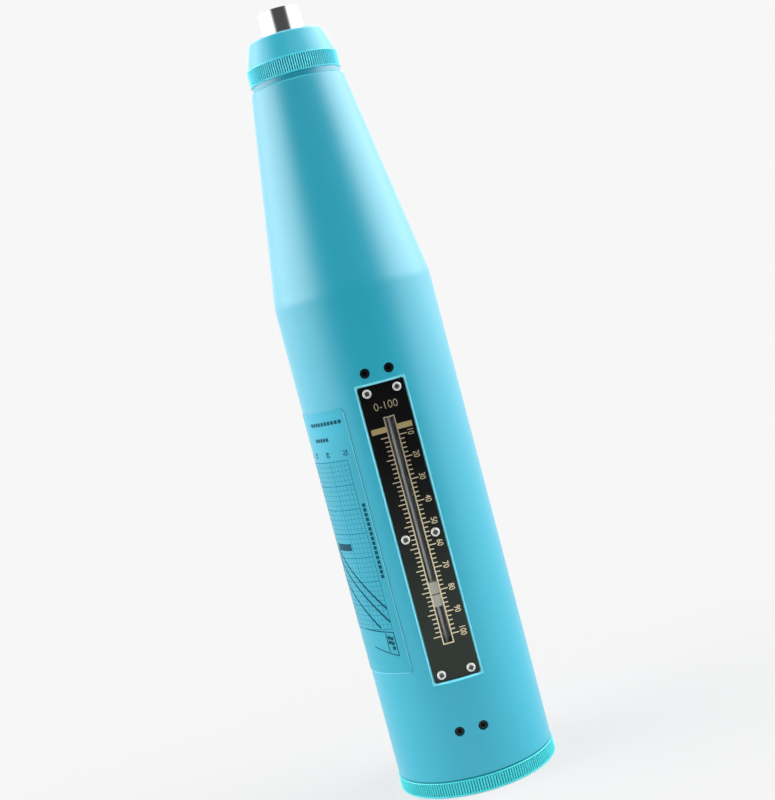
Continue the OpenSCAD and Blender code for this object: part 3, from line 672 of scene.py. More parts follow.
class Finishes:
    """Every finish of the hammer, each made once."""

    def __init__(self) -> None:
        """Makes the materials, kind by kind."""
        self.coats()
        self.metals()
        self.prints()

    def coats(self) -> None:
        """Makes the powder coats and the label's film, which takes the barrel's colour at its top."""
        cyan = (0.014, 0.32, 0.435)
        through = BARREL_RADIUS
        # painted highlight: the bevel round the scale's pocket is coated pale, standing in for the light
        # that it catches
        pocket_rim_highlight = Band((0.18, 0.69, 0.81), 38.0 * MM, 141.1 * MM, 0.03 * MM, 0.84 * MM, True)
        # painted shade: the neck under the nose cap is coated darker, standing in for the shade that falls
        # in it
        neck_shade = Band((0.012, 0.26, 0.355), 241.5 * MM, 243.4 * MM)
        # painted highlight: a pale line along the nose's top edge stands in for the light that the edge
        # catches
        nose_edge_highlight = Band((0.05, 0.43, 0.55), 241.0 * MM, 241.5 * MM)
        # painted shade: a dark line where the barrel meets the rear cover stands in for the shade in that
        # groove
        seam_shade = Band((0.006, 0.15, 0.2), 5.2 * MM, 5.9 * MM)
        # painted highlight: a pale line round the cap's front rim stands in for the light that the rim
        # catches
        cap_rim_highlight = Band((0.16, 0.58, 0.7), 256.9 * MM, 257.6 * MM, -through, through)
        self.body = PowderCoat(
            "body_coat", cyan, (0.011, 0.296, 0.407), bands=(pocket_rim_highlight, neck_shade, nose_edge_highlight, seam_shade)
        ).material()
        self.cap = PowderCoat(
            "cap_coat", (0.008, 0.38, 0.515), (0.007, 0.355, 0.48), 0.2, 0.52, (cap_rim_highlight,), through
        ).material()
        # painted highlight: the nose cap's ribs get a paler copy of the coat, standing in for the light they
        # catch
        self.lit_cap_ribs = PowderCoat(
            "cap_lit_rib_coat", (0.055, 0.66, 0.78), (0.05, 0.61, 0.72), reach=through
        ).material()
        # painted shade: the floor between the nose cap's ribs gets a darker copy of the coat, standing in
        # for the shade in the groove
        self.shaded_cap_groove = PowderCoat(
            "cap_shaded_groove_coat", (0.003, 0.1, 0.14), (0.002, 0.085, 0.12), 0.4, 0.3
        ).material()
        # painted highlight: the rear cover and its ribs get a paler, greener copy of the coat, standing in
        # for the light the ribs catch
        self.ribs = PowderCoat(
            "lit_rib_coat", (0.035, 0.58, 0.62), (0.03, 0.53, 0.57), reach=through
        ).material()
        # painted shade: the floor between the rear cover's ribs gets a darker copy of the coat, standing in
        # for the shade in the groove
        self.groove = PowderCoat(
            "shaded_groove_coat", (0.008, 0.22, 0.26), (0.006, 0.18, 0.22), 0.4, 0.3
        ).material()
        self.film = Film("label_film", (0.016, 0.275, 0.365), (0.02, 0.295, 0.39), cyan).material()

    def metals(self) -> None:
        """Makes the bare metals and the plate's black."""
        steel = (0.66, 0.67, 0.69)
        self.chrome = Metal("polished_steel", (0.78, 0.78, 0.8), Work.TURNED, 0.14, 0.1).material()
        self.turned = Metal("turned_steel", steel, Work.TURNED, 0.26).material()
        self.faced = Metal("faced_steel", steel, Work.FACED, 0.26).material()
        self.drawn = Metal("drawn_steel", (0.66, 0.66, 0.66), Work.DRAWN, 0.4).material()
        # painted highlight: a bright stripe down the rod's front, with a painted dark reflection beside it
        self.rod = Metal(
            "ground_rod", (0.98, 0.98, 0.98), Work.DRAWN, 0.45, 0.02, (0.1, 0.1, 0.1), 0.1,
            relief=0.0005 * MM, highlight_stripe=(-0.2 * MM, 0.4 * MM),
        ).material()
        # the second colour is the painted shade in the cross recess
        self.zinc = Metal(
            "zinc_screw", (0.63, 0.635, 0.61), Work.PLAIN, 0.25, 0.06, (0.13, 0.125, 0.11), 0.3
        ).material()
        self.dark = Metal("oiled_steel", (0.2, 0.2, 0.22), Work.TURNED, 0.34).material()
        self.blued = Metal("blued_steel", (0.09, 0.09, 0.1), Work.FACED, 0.32).material()
        self.wire = Metal("spring_wire", (0.4, 0.41, 0.43), Work.PLAIN, 0.28).material()
        self.brass = Metal("turned_brass", (0.72, 0.52, 0.22), Work.TURNED, 0.26).material()
        # the second colour is the painted shade in the hex recess
        self.black = Metal(
            "black_screw", (0.05, 0.058, 0.06), Work.PLAIN, 0.36, painted_shade=(0.012, 0.014, 0.015)
        ).material()
        self.plate = Anodised("black_plate").material()

    def prints(self) -> None:
        """Makes the inks, the mouldings and the clear pane."""
        dim_gold = (0.273, 0.231, 0.147)
        matt = 0.06
        self.gold = Ink("gold_print", (0.63, 0.555, 0.36), (0.58, 0.51, 0.33), dim=dim_gold).material()
        self.bronze = Ink("bar_print", (0.285, 0.222, 0.092), (0.255, 0.198, 0.08)).material()
        self.grid = Ink("grid_print", (0.006, 0.14, 0.225), (0.01, 0.18, 0.275), matt).material()
        self.trace = Ink("trace_print", (0.002, 0.05, 0.078), (0.004, 0.066, 0.1), matt).material()
        self.red = Ink("mark_print", (0.27, 0.1, 0.05), (0.34, 0.15, 0.09)).material()
        self.pale = Ink("pale_edge", (0.16, 0.58, 0.7), (0.13, 0.53, 0.66)).material()
        self.ivory = Moulding(
            "ivory_rider", (0.95, 0.94, 0.8), (0.88, 0.87, 0.73), 0.5, 0.2 * MM, 0.004 * MM
        ).material()
        self.felt = Moulding(
            "wool_felt", (0.3, 0.28, 0.24), (0.22, 0.2, 0.17), 0.9, 0.3 * MM, 0.1 * MM
        ).material()
        self.pane = Clear("clear_pane").material()


@dataclass(frozen=True)
class Box:
    """The box of a CAD node at rest."""

    low: Vector
    high: Vector

    @classmethod
    def of(cls, node: str) -> "Box":
        """Returns the box of that node."""
        return cls(*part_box(node))

    @property
    def centre(self) -> Vector:
        """The middle of the box."""
        return (self.low + self.high) / 2

    @property
    def size(self) -> Vector:
        """The box's width, depth and height."""
        return self.high - self.low


def linked(name: str, data: bpy.types.ID) -> Piece:
    """Puts a new object into the scene.

    Args:
        name: The object's name.
        data: What it shows.

    Returns:
        The object.
    """
    made = bpy.data.objects.new(name, data)
    bpy.context.scene.collection.objects.link(made)
    return made


def soften(mesh: bpy.types.Mesh) -> None:
    """Shades a mesh smooth, apart from its sharp edges."""
    mesh.shade_smooth()
    mesh.set_sharp_from_angle(angle=SHARP)


def seen_mesh(piece: Piece) -> bpy.types.Mesh:
    """Returns a plain mesh of a piece, as its modifiers or its text shape it."""
    seen = piece.evaluated_get(bpy.context.evaluated_depsgraph_get())
    return bpy.data.meshes.new_from_object(seen)


def settled(piece: Piece, modifier: bpy.types.Modifier) -> Piece:
    """Makes the shape that a modifier gives a piece its own mesh.

    Args:
        piece: The piece.
        modifier: Its only modifier, which is removed.

    Returns:
        The piece.
    """
    mesh = seen_mesh(piece)
    piece.modifiers.remove(modifier)
    piece.data = mesh
    soften(mesh)
    return piece


def meshed(name: str, work: WorkMesh, material: Material) -> Piece:
    """Turns an edit mesh into an object with a finish.

    Args:
        name: The object's name.
        work: The edit mesh, which is freed.
        material: The finish.

    Returns:
        The new object.
    """
    mesh = bpy.data.meshes.new(name)
    work.to_mesh(mesh)
    work.free()
    mesh.materials.append(material)
    soften(mesh)
    return linked(name, mesh)


def rounded(corners: Sequence[Corner]) -> list[Point]:
    """Rounds the corners of a closed outline.

    Args:
        corners: The corners, each with its radius, height and rounding.

    Returns:
        The outline's points.
    """
    points: list[Point] = []
    count = len(corners)
    for i, (x, y, rounding) in enumerate(corners):
        if rounding <= 0:
            points.append((x, y))
            continue
        here = Vector((x, y))
        before = (Vector(corners[i - 1][:2]) - here).normalized()
        after = (Vector(corners[(i + 1) % count][:2]) - here).normalized()
        half = before.angle(after) / 2
        middle = here + (before + after).normalized() * (rounding / math.sin(half))
        start = here + before * (rounding / math.tan(half)) - middle
        end = here + after * (rounding / math.tan(half)) - middle
        sweep = start.angle_signed(end)
        for step in range(ROUND_STEPS + 1):
            turn = Matrix.Rotation(-sweep * step / ROUND_STEPS, 2)
            points.append(tuple(middle + turn @ start))
    return points


def lathe(outline: Sequence[Point], segments: int) -> WorkMesh:
    """Turns a closed outline about the Z axis.

    Args:
        outline: Points of radius and height.
        segments: How many steps a full turn has.

    Returns:
        A closed edit mesh.
    """
    work = bmesh.new()
    rings = []
    for radius, height in outline:
        count = segments if radius > 0 else 1
        turns = (math.tau * i / segments for i in range(count))
        rings.append([work.verts.new((radius * math.cos(a), radius * math.sin(a), height)) for a in turns])
    for low, high in zip(rings, rings[1:] + rings[:1]):
        for i in range(segments):
            j = i + 1
            corners = [low[i % len(low)], low[j % len(low)], high[j % len(high)], high[i % len(high)]]
            apart = list(dict.fromkeys(corners))
            if len(apart) > 2:
                work.faces.new(apart)
    bmesh.ops.recalc_face_normals(work, faces=work.faces)
    return work


def slab(work: WorkMesh, low: Sequence[float], high: Sequence[float]) -> None:
    """Adds a box to an edit mesh.

    Args:
        work: The edit mesh.
        low: The box's lower corner.
        high: Its upper corner.
    """
    size = [b - a for a, b in zip(low, high)]
    middle = [(a + b) / 2 for a, b in zip(low, high)]
    place = Matrix.Translation(middle) @ Matrix.Diagonal((*size, 1.0))
    bmesh.ops.create_cube(work, size=1.0, matrix=place)


def prism(sides: int, radius: float, low: float, high: float) -> WorkMesh:
    """Makes an upright prism on the Z axis.

    Args:
        sides: How many sides it has.
        radius: The radius over its corners.
        low: The height of its foot.
        high: The height of its top.

    Returns:
        A closed edit mesh.
    """
    work = bmesh.new()
    bmesh.ops.create_cone(
        work, cap_ends=True, segments=sides, radius1=radius, radius2=radius, depth=high - low,
        matrix=Matrix.Translation((0, 0, (low + high) / 2)),
    )
    return work


def join_rings(work: WorkMesh, rings: Sequence[Sequence[bmesh.types.BMVert]]) -> None:
    """Skins a row of rings and closes both ends.

    Args:
        work: The edit mesh that they are in.
        rings: The rings, with like counts of points.
    """
    count = len(rings[0])
    for a, b in zip(rings, rings[1:]):
        for i in range(count):
            j = (i + 1) % count
            work.faces.new((a[i], a[j], b[j], b[i]))
    work.faces.new(rings[0])
    work.faces.new(rings[-1])
    bmesh.ops.recalc_face_normals(work, faces=work.faces)


def carved(piece: Piece, work: WorkMesh, operation: str) -> Piece:
    """Applies a boolean to a piece.

    Args:
        piece: The piece that is cut.
        work: The cutter's edit mesh, which is used up.
        operation: DIFFERENCE or INTERSECT.

    Returns:
        The piece.
    """
    tool = meshed("cutter", work, piece.data.materials[0])
    modifier = piece.modifiers.new("carve", "BOOLEAN")
    modifier.operation = operation
    modifier.object = tool
    modifier.solver = "EXACT"
    settled(piece, modifier)
    bpy.data.objects.remove(tool)
    return piece


def figures(text: str, height: float, stretch: float, weight: float, depth: float) -> bpy.types.Mesh:
    """Makes plain numerals as a thin solid in the XY plane, centred, facing +Z.

    Args:
        text: The numerals.
        height: Their height.
        stretch: Their width, as a share of the font's own.
        weight: How far the strokes are widened, as a share of the font's size.
        depth: Their thickness.

    Returns:
        A mesh.
    """
    curve = bpy.data.curves.new("figures", "FONT")
    curve.body = text
    curve.resolution_u = FIGURE_STEPS
    curve.offset = weight
    flat = linked("figures", curve)
    mesh = seen_mesh(flat)
    bpy.data.objects.remove(flat)
    low, high = (Vector([end(v.co[k] for v in mesh.vertices) for k in range(3)]) for end in (min, max))
    scale = height / (high.y - low.y)
    centred = Matrix.Translation(-(low + high) / 2)
    mesh.transform(Matrix.Diagonal((scale * stretch, scale, 1.0, 1.0)) @ centred)
    work = bmesh.new()
    work.from_mesh(mesh)
    bmesh.ops.remove_doubles(work, verts=work.verts, dist=height * FIGURE_MERGE)
    faces = bmesh.ops.extrude_face_region(work, geom=work.faces[:])["geom"]
    raised = [part for part in faces if isinstance(part, bmesh.types.BMVert)]
    bmesh.ops.translate(work, verts=raised, vec=(0, 0, depth))
    bmesh.ops.recalc_face_normals(work, faces=work.faces)
    work.to_mesh(mesh)
    work.free()
    return mesh


def dress(material: Material, *nodes: str) -> None:
    """Gives CAD nodes a finish.

    Args:
        material: The finish.
        nodes: The nodes' names.
    """
    for node in nodes:
        frame["nodes"][node].material_slots[0].material = material
        LOG.info("node %s has finish %s", node, material.name)


def add_to(piece: Piece, node: str) -> None:
    """Lets a piece ride with a CAD node, unless it bends.

    Args:
        piece: The piece.
        node: The node's name.
    """
    if "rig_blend" not in piece:
        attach(piece, frame["nodes"][node]["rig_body"])
    LOG.info("piece %s goes with %s", piece.name, node)


def stand_for(piece: Piece, node: str) -> None:
    """Lets a piece take the place of a CAD node."""
    add_to(piece, node)
    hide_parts(node)


@dataclass(frozen=True)
class RibRing:
    """A ring of straight rounded ribs in the groove of a turned piece."""

    node: str
    radius: float
    low: float
    high: float
    count: int
    depth: float
    width_share: float = 0.62
    sides: int = 12
    near: float = 0.01 * MM

    def ribs(self, material: Material) -> Piece:
        """Makes the ribs as one mesh.

        Args:
            material: Their finish.

        Returns:
            The ring of ribs.
        """
        shape = Shape(self.node + "_ribs")
        count = shape.size("Count", self.count)
        depth = shape.size("Depth", self.depth)
        width = shape.size("Width", math.tau * self.radius / self.count * self.width_share)
        length = shape.size("Length", self.high - self.low)
        middle = shape.size("Middle", (self.high + self.low) / 2)
        foot = shape.size("Radius", self.radius) - depth
        angle = shape.index() / count * math.tau
        x, y = (foot * shape.math(wave, angle) for wave in ("COSINE", "SINE"))
        ring = shape.points(count, x, y, middle)
        rib = shape.add("GeometryNodeMeshCylinder", {"Vertices": self.sides, "Radius": 1.0, "Depth": 1.0})
        turn, size = shape.turn((0, 0, 1), angle), shape.vector(depth, width / 2.0, length)
        return shape.piece(shape.copies(ring, rib, Rotation=turn, Scale=size), material)

    def fit(self, shell: Piece, material: Material, groove: Material) -> None:
        """Lets a turned piece stand for the CAD node, gives its groove floor a darker coat as painted shade
        and sets the ribs in it.

        Args:
            shell: The turned piece.
            material: The ribs' finish, a paler copy of the coat painted as highlight.
            groove: The groove floor's finish, a darker copy of the coat painted as shade.
        """
        shell.data.materials.append(groove)
        last = len(shell.data.materials) - 1
        core = self.radius - self.depth
        # faces on the groove floor take the darker coat, painted as shade
        for face in shell.data.polygons:
            reach = [shell.data.vertices[i].co.xy.length for i in face.vertices]
            if max(abs(r - core) for r in reach) < self.near:
                face.material_index = last
        stand_for(shell, self.node)
        add_to(self.ribs(material), self.node)


class Pull(Enum):
    """How a spring's length changes as its joint moves from rest."""

    HOLDS = "holds"
    GROWS = "grows"
    SHORTENS = "shortens"


@dataclass(frozen=True)
class Coil:
    """A coil spring of round wire that takes the place of a CAD spring."""

    node: str
    wire: float
    curls: int
    pull: Pull = Pull.HOLDS
    axis: str = "Z"
    turn: float = 0.0
    steps: int = 40
    sides: int = 14

    @property
    def along(self) -> int:
        """The index of the axis that the spring stands on."""
        return "XYZ".index(self.axis)

    def travel(self, box: Box) -> tuple[dict[str, Any], Vector, Vector]:
        """Looks up the joint that changes the spring's length.

        Args:
            box: The CAD spring's box.

        Returns:
            The joint, and the spring's fixed end and free end at rest.
        """
        joint, entry = next(
            (joint, entry) for joint in frame["joints"] for entry in joint.get("deforming_nodes", ())
            if entry["node"] == self.node
        )
        fixed, free = box.centre, box.centre
        fixed[self.along] = entry[f"fixed_end_{self.axis.lower()}_m"]
        free[self.along] = 2.0 * box.centre[self.along] - fixed[self.along]
        return joint, fixed, free

    def wound(self, box: Box, material: Material) -> Piece:
        """Winds the spring.

        Args:
            box: The CAD spring's box, which it fills.
            material: Its finish.

        Returns:
            The spring.
        """
        shape = Shape(self.node + "_coil")
        wire = shape.size("Wire", self.wire)
        radius = shape.size("Radius", box.size.x / 2 - self.wire / 2)
        height = shape.size("Height", box.size[self.along] - self.wire)
        curls = shape.size("Curls", float(self.curls))
        line = shape.add("GeometryNodeCurveSpiral", {
            "Resolution": self.steps, "Rotations": curls,
            "Start Radius": radius, "End Radius": radius, "Height": height,
        })
        circle = {"Resolution": self.sides, "Radius": wire / 2.0}
        ring = shape.add("GeometryNodeCurvePrimitiveCircle", circle)
        tube = {"Curve": line, "Profile Curve": ring, "Fill Caps": True}
        spring = shape.piece(shape.add("GeometryNodeCurveToMesh", tube), material)
        foot = box.centre
        foot[self.along] = box.low[self.along] + self.wire / 2
        lean = Matrix.Rotation(-QUARTER if self.axis == "Y" else 0.0, 4, "X")
        spring.data.transform(Matrix.Translation(foot) @ lean @ Matrix.Rotation(self.turn, 4, "Z"))
        return spring

    def build(self, material: Material) -> None:
        """Winds the spring. A spring that grows is blended between its joint's two bodies; any other spring
        rides with its node's body.

        Args:
            material: Its finish.
        """
        box = Box.of(self.node)
        spring = self.wound(box, material)
        if self.pull is Pull.GROWS:
            joint, fixed, free = self.travel(box)
            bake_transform(spring, joint["parent"], joint["child"], fixed, free)
        stand_for(spring, self.node)
        if self.pull is Pull.SHORTENS:
            joint, fixed, free = self.travel(box)
            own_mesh(spring)


@dataclass(frozen=True)
class Assembly:
    """A sub-assembly with the finishes that it uses. Its other fields are sizes."""

    finishes: Finishes


@dataclass(frozen=True)
class Barrel(Assembly):
    """The coated housing."""

    def build(self) -> None:
        """Coats the housing."""
        dress(self.finishes.body, "housing")


@dataclass(frozen=True)
class RearCover(Assembly):
    """The ribbed cover that screws into the barrel's rear end."""

    ribs: int = 182
    rib_depth: float = 0.3 * MM
    lip: float = 0.4 * MM
    edge: float = 0.72 * MM
    rib_start: float = 0.85 * MM
    plug_radius: float = 21.95 * MM
    cup_radius: float = 18.3 * MM
    cup_floor: float = 8.2 * MM
    boss_radius: float = 7.0 * MM
    boss_end: float = 12.2 * MM
    recess_radius: float = 13.0 * MM
    recess_depth: float = 5.2 * MM
    hole_radius: float = 3.05 * MM
    soft: float = 0.25 * MM
    segments: int = 256

    def build(self) -> None:
        """Turns the cover, with its recess and boss, and sets ribs round its rim."""
        box = Box.of("rear_cover")
        rim = Box.of("housing").low.z
        radius = box.high.x
        core = radius - self.rib_depth
        low, high = self.rib_start, rim - self.lip
        outline = rounded([
            (self.recess_radius, 0.0, self.soft * 2),
            (radius, 0.0, self.edge),
            (radius, low, self.soft / 4),
            (core, low, 0.0),
            (core, high, 0.0),
            (radius, high, self.soft / 2),
            (radius, rim, self.soft),
            (self.plug_radius, rim, 0.0),
            (self.plug_radius, box.high.z, self.soft),
            (self.cup_radius, box.high.z, self.soft),
            (self.cup_radius, self.cup_floor, 0.0),
            (self.boss_radius, self.cup_floor, 0.0),
            (self.boss_radius, self.boss_end, self.soft),
            (self.hole_radius, self.boss_end, 0.0),
            (self.hole_radius, self.recess_depth, self.soft),
            (self.recess_radius, self.recess_depth, self.soft * 2),
        ])
        shell = meshed("rear_cover_rim", lathe(outline, self.segments), self.finishes.ribs)
        ring = RibRing("rear_cover", radius, low, high, self.ribs, self.rib_depth)
        ring.fit(shell, self.finishes.ribs, self.finishes.groove)


@dataclass(frozen=True)
class NoseCap(Assembly):
    """The ribbed cap on the nose."""

    ribs: int = 118
    rib_depth: float = 0.28 * MM
    edge: float = 0.42 * MM
    edge_soft: float = 0.378 * MM
    ring_height: float = 5.8 * MM
    ring_chamfer: float = 0.14 * MM
    ring_soft: float = 0.075 * MM
    foot_radius: float = 15.35 * MM
    front_radius: float = 12.6 * MM
    front_soft: float = 0.48 * MM
    socket_radius: float = 12.05 * MM
    socket_depth: float = 9.2 * MM
    pocket_radius: float = 10.7 * MM
    wall: float = 1.5 * MM
    hole_radius: float = 7.3 * MM
    soft: float = 0.3 * MM
    segments: int = 224

    def build(self) -> None:
        """Turns the cap and sets ribs round its ring."""
        box = Box.of("nose_cap")
        radius = box.high.x
        core = radius - self.rib_depth
        foot, front = box.low.z, box.high.z
        head = foot + self.ring_height
        low, high = foot + self.edge, head - self.edge
        outline = rounded([
            (self.socket_radius, foot, self.soft),
            (radius, foot, self.edge_soft),
            (radius, low, 0.0),
            (core, low, 0.0),
            (core, high, 0.0),
            (radius, high, 0.0),
            (radius, head - self.ring_chamfer, self.ring_soft),
            (self.foot_radius, head, self.ring_soft),
            (self.front_radius, front, self.front_soft),
            (self.hole_radius, front, self.soft),
            (self.hole_radius, front - self.wall, 0.0),
            (self.pocket_radius, front - self.wall, 0.0),
            (self.pocket_radius, foot + self.socket_depth, 0.0),
            (self.socket_radius, foot + self.socket_depth, 0.0),
        ])
        shell = meshed("nose_cap_shell", lathe(outline, self.segments), self.finishes.cap)
        shell.data.materials.append(self.finishes.lit_cap_ribs)
        # faces below the ring's head take the paler rib coat, a painted highlight
        for face in shell.data.polygons:
            face.material_index = int(face.center.z < head)
        ring = RibRing("nose_cap", radius, low, high, self.ribs, self.rib_depth)
        ring.fit(shell, self.finishes.lit_cap_ribs, self.finishes.shaded_cap_groove)


class Drive(Enum):
    """The recess in a screw's head."""

    CROSS = "cross"
    HEX = "hex"


@dataclass(frozen=True)
class Screws:
    """A group of like screws on the scale's side, in pairs left and right of the middle."""

    node: str
    drive: Drive
    rows: tuple[float, ...]
    offset: float
    face: float
    head_radius: float
    head_height: float
    shank_radius: float
    shank_end: float
    recess_radius: float
    recess_depth: float
    dome: float = 0.2
    head_foot: float = 0.1
    shank_tip: float = 0.3
    arm: float = 0.3
    core: float = 0.85
    core_sides: int = 24
    segments: int = 48
    rim: float = 0.99
    spin: float = 2.4
    spin_start: float = 0.5

    def cutters(self) -> list[WorkMesh]:
        """Makes the shapes that cut the recess.

        Returns:
            Two arms and a round core, or one six-sided key.
        """
        reach = self.recess_radius
        top, bottom = self.head_height + self.recess_depth, self.head_height - self.recess_depth
        if self.drive is Drive.HEX:
            return [prism(HEXAGON, reach, bottom, top)]
        arms = []
        for x, y in ((reach, reach * self.arm), (reach * self.arm, reach)):
            arms.append(bmesh.new())
            slab(arms[-1], (-x, -y, bottom), (x, y, top))
        return [*arms, prism(self.core_sides, reach * self.core, (self.head_height + bottom) / 2, top)]

    def one(self, material: Material) -> Piece:
        """Makes one screw along Z, with its seat at the origin and its recess on top.

        Args:
            material: The screw's finish.

        Returns:
            The screw.
        """
        outline = rounded([
            (0.0, -self.shank_end, 0.0),
            (self.shank_radius, -self.shank_end, self.shank_radius * self.shank_tip),
            (self.shank_radius, 0.0, 0.0),
            (self.head_radius, 0.0, self.head_height * self.head_foot),
            (self.head_radius, self.head_height, self.head_height * self.dome),
            (0.0, self.head_height, 0.0),
        ])
        screw = meshed(self.node + "_one", lathe(outline, self.segments), material)
        for work in self.cutters():
            carved(screw, work, "DIFFERENCE")
        # faces inside the recess are marked so that the finish paints them dark, as painted shade
        deep = screw.data.attributes.new(RECESS, "FLOAT", "FACE")
        for face in screw.data.polygons:
            near = face.center.xy.length < self.recess_radius
            sunk = 0.0 < face.center.z < self.head_height * self.rim
            deep.data[face.index].value = float(near and sunk)
        return screw

    def build(self, material: Material) -> None:
        """Sets the screws in their places, each turned a little further.

        Args:
            material: Their finish.
        """
        one = self.one(material)
        shape = Shape(self.node + "_set")
        offset = shape.size("Offset", self.offset)
        face = shape.size("Face", self.face)
        index = shape.index()
        row = shape.math("FLOOR", index / 2.0)
        height: Number = shape.size("Row 1", self.rows[0])
        for i, (lower, upper) in enumerate(zip(self.rows, self.rows[1:])):
            step = shape.size(f"Step {i + 1}", upper - lower)
            height = height + step * (1.0 - (row < i + 0.5))
        across = (index % 2.0 * 2.0 - 1.0) * offset
        points = shape.points(2 * len(self.rows), across, 0.0 - face, height)
        source = shape.add("GeometryNodeObjectInfo", {"Object": shape.size("Screw", one)}, "Geometry")
        spun = shape.add("FunctionNodeRotateRotation", {
            "Rotation": shape.turn((1, 0, 0), QUARTER),
            "Rotate By": shape.turn((0, 1, 0), index * self.spin + self.spin_start),
        })
        screws = shape.piece(shape.copies(points, source, Rotation=spun), material)
        bpy.data.objects.remove(one)
        stand_for(screws, self.node)


@dataclass(frozen=True)
class ScalePlate(Assembly):
    """The black plate with its slot, gold scale and screws."""

    unit: float = 0.75 * MM
    units: int = 100
    tick_step: int = 2
    ticks_per_long: int = 5
    zero_rise: float = 89.8 * MM
    print_depth: float = 0.03 * MM
    slot_width: float = 3.0 * MM
    slot_length: float = 76.4 * MM
    slot_rise: float = 12.2 * MM
    frame_line: float = 0.36 * MM
    tick_line: float = 0.33 * MM
    left_ticks: Point = (1.5 * MM, 2.5 * MM)
    right_ticks: Point = (1.35 * MM, 2.4 * MM)
    numeral_height: float = 2.05 * MM
    numeral_stretch: float = 0.8
    numeral_weight: float = 0.005
    numeral_x: float = 5.65 * MM
    bar: Point = (84.0 * MM, 85.85 * MM)
    bar_reach: float = 6.8 * MM
    range_rise: float = 92.7 * MM
    range_height: float = 2.5 * MM
    range_stretch: float = 0.95
    range_weight: float = -0.01
    screw_x: float = 5.0 * MM
    screw_end: float = 2.4 * MM
    screw_mid: float = 48.5 * MM

    @cached_property
    def plate(self) -> Box:
        """The CAD plate's box."""
        return Box.of("scale_plate")

    @property
    def zero(self) -> float:
        """The height of the scale's zero."""
        return self.plate.low.z + self.zero_rise

    @property
    def decade(self) -> int:
        """How many units lie between two long ticks."""
        return self.tick_step * self.ticks_per_long

    @property
    def frame_x(self) -> float:
        """Half the outer width of the gold frame round the slot."""
        return self.slot_width / 2 + self.frame_line

    def ticks(self, side: int) -> Piece:
        """Prints the ticks on one side of the slot.

        Args:
            side: -1 for the left side and 1 for the right.

        Returns:
            The ticks as one mesh.
        """
        name, (least, most) = ("right", self.right_ticks) if side > 0 else ("left", self.left_ticks)
        shape = Shape("scale_ticks_" + name)
        first = shape.size("First tick", self.zero - self.decade * self.unit)
        spacing = shape.size("Spacing", self.unit * self.tick_step)
        start = shape.size("Start", self.frame_x)
        short = shape.size("Short", least)
        extra = shape.size("Extra", most - least)
        line = shape.size("Line", self.tick_line)
        depth = shape.size("Depth", self.print_depth)
        face = shape.size("Face", self.plate.low.y)
        index = shape.index()
        length = short + extra * (index % float(self.ticks_per_long) < 0.5)
        count = (self.units - self.decade) // self.tick_step + 1
        across = (start + length / 2.0) * side
        points = shape.points(count, across, face - depth / 2.0, first - index * spacing)
        ticks = shape.copies(points, shape.cube(), Scale=shape.vector(length, depth, line))
        return shape.piece(ticks, self.finishes.gold)

    def numerals(self) -> Piece:
        """Prints the numbers, which read downwards beside the right-hand ticks, and the scale's range.

        Returns:
            The numbers as one mesh.
        """
        work = bmesh.new()
        facing = Matrix.Rotation(QUARTER, 4, "X")
        downwards = facing @ Matrix.Rotation(-QUARTER, 4, "Z")
        style = (self.numeral_height, self.numeral_stretch, self.numeral_weight, self.print_depth)
        for reading in range(self.decade, self.units + 1, self.decade):
            mesh = figures(str(reading), *style)
            spot = (self.numeral_x, self.plate.low.y, self.zero - reading * self.unit)
            mesh.transform(Matrix.Translation(spot) @ downwards)
            work.from_mesh(mesh)
        style = (self.range_height, self.range_stretch, self.range_weight, self.print_depth)
        mesh = figures(f"0-{self.units}", *style)
        spot = (0.0, self.plate.low.y, self.plate.low.z + self.range_rise)
        mesh.transform(Matrix.Translation(spot) @ facing)
        work.from_mesh(mesh)
        return meshed("scale_numbers", work, self.finishes.gold)

    def inked(self, work: WorkMesh, across: Point, rise: Point) -> None:
        """Adds a printed rectangle between two places across the plate and two heights above its foot.

        Args:
            work: The edit mesh that it goes into.
            across: The two places.
            rise: The lower and the upper height.
        """
        left, right = sorted(across)
        low, high = (self.plate.low.z + height for height in rise)
        face = self.plate.low.y
        slab(work, (left, face - self.print_depth, low), (right, face, high))

    def border(self) -> Piece:
        """Prints the frame round the slot.

        Returns:
            The frame as one mesh.
        """
        work = bmesh.new()
        line, reach = self.frame_line, self.frame_x
        low, high = self.slot_rise, self.slot_rise + self.slot_length
        for side in SIDES:
            self.inked(work, (side * (reach - line), side * reach), (low - line, high + line))
        for foot in (low - line, high):
            self.inked(work, (line - reach, reach - line), (foot, foot + line))
        return meshed("scale_frame", work, self.finishes.gold)

    def bars(self) -> Piece:
        """Prints the two bars above the scale.

        Returns:
            The bars as one mesh.
        """
        work = bmesh.new()
        for side in SIDES:
            self.inked(work, (side * self.frame_x, side * self.bar_reach), self.bar)
        return meshed("scale_bars", work, self.finishes.bronze)

    def build(self) -> None:
        """Dresses the plate and pane, prints the scale and sets the screws."""
        dress(self.finishes.plate, "scale_plate")
        dress(self.finishes.pane, "window_pane")
        for piece in (*map(self.ticks, SIDES), self.numerals(), self.border(), self.bars()):
            add_to(piece, "scale_plate")
        low, high = self.plate.low.z, self.plate.high.z
        rows = (low + self.screw_end, low + self.screw_mid, high - self.screw_end)
        Screws(
            "plate_screws", Drive.CROSS, rows, self.screw_x, -self.plate.low.y,
            head_radius=1.47 * MM, head_height=0.8 * MM, shank_radius=0.8 * MM, shank_end=3.0 * MM,
            recess_radius=0.86 * MM, recess_depth=0.6 * MM, dome=0.55,
        ).build(self.finishes.zinc)


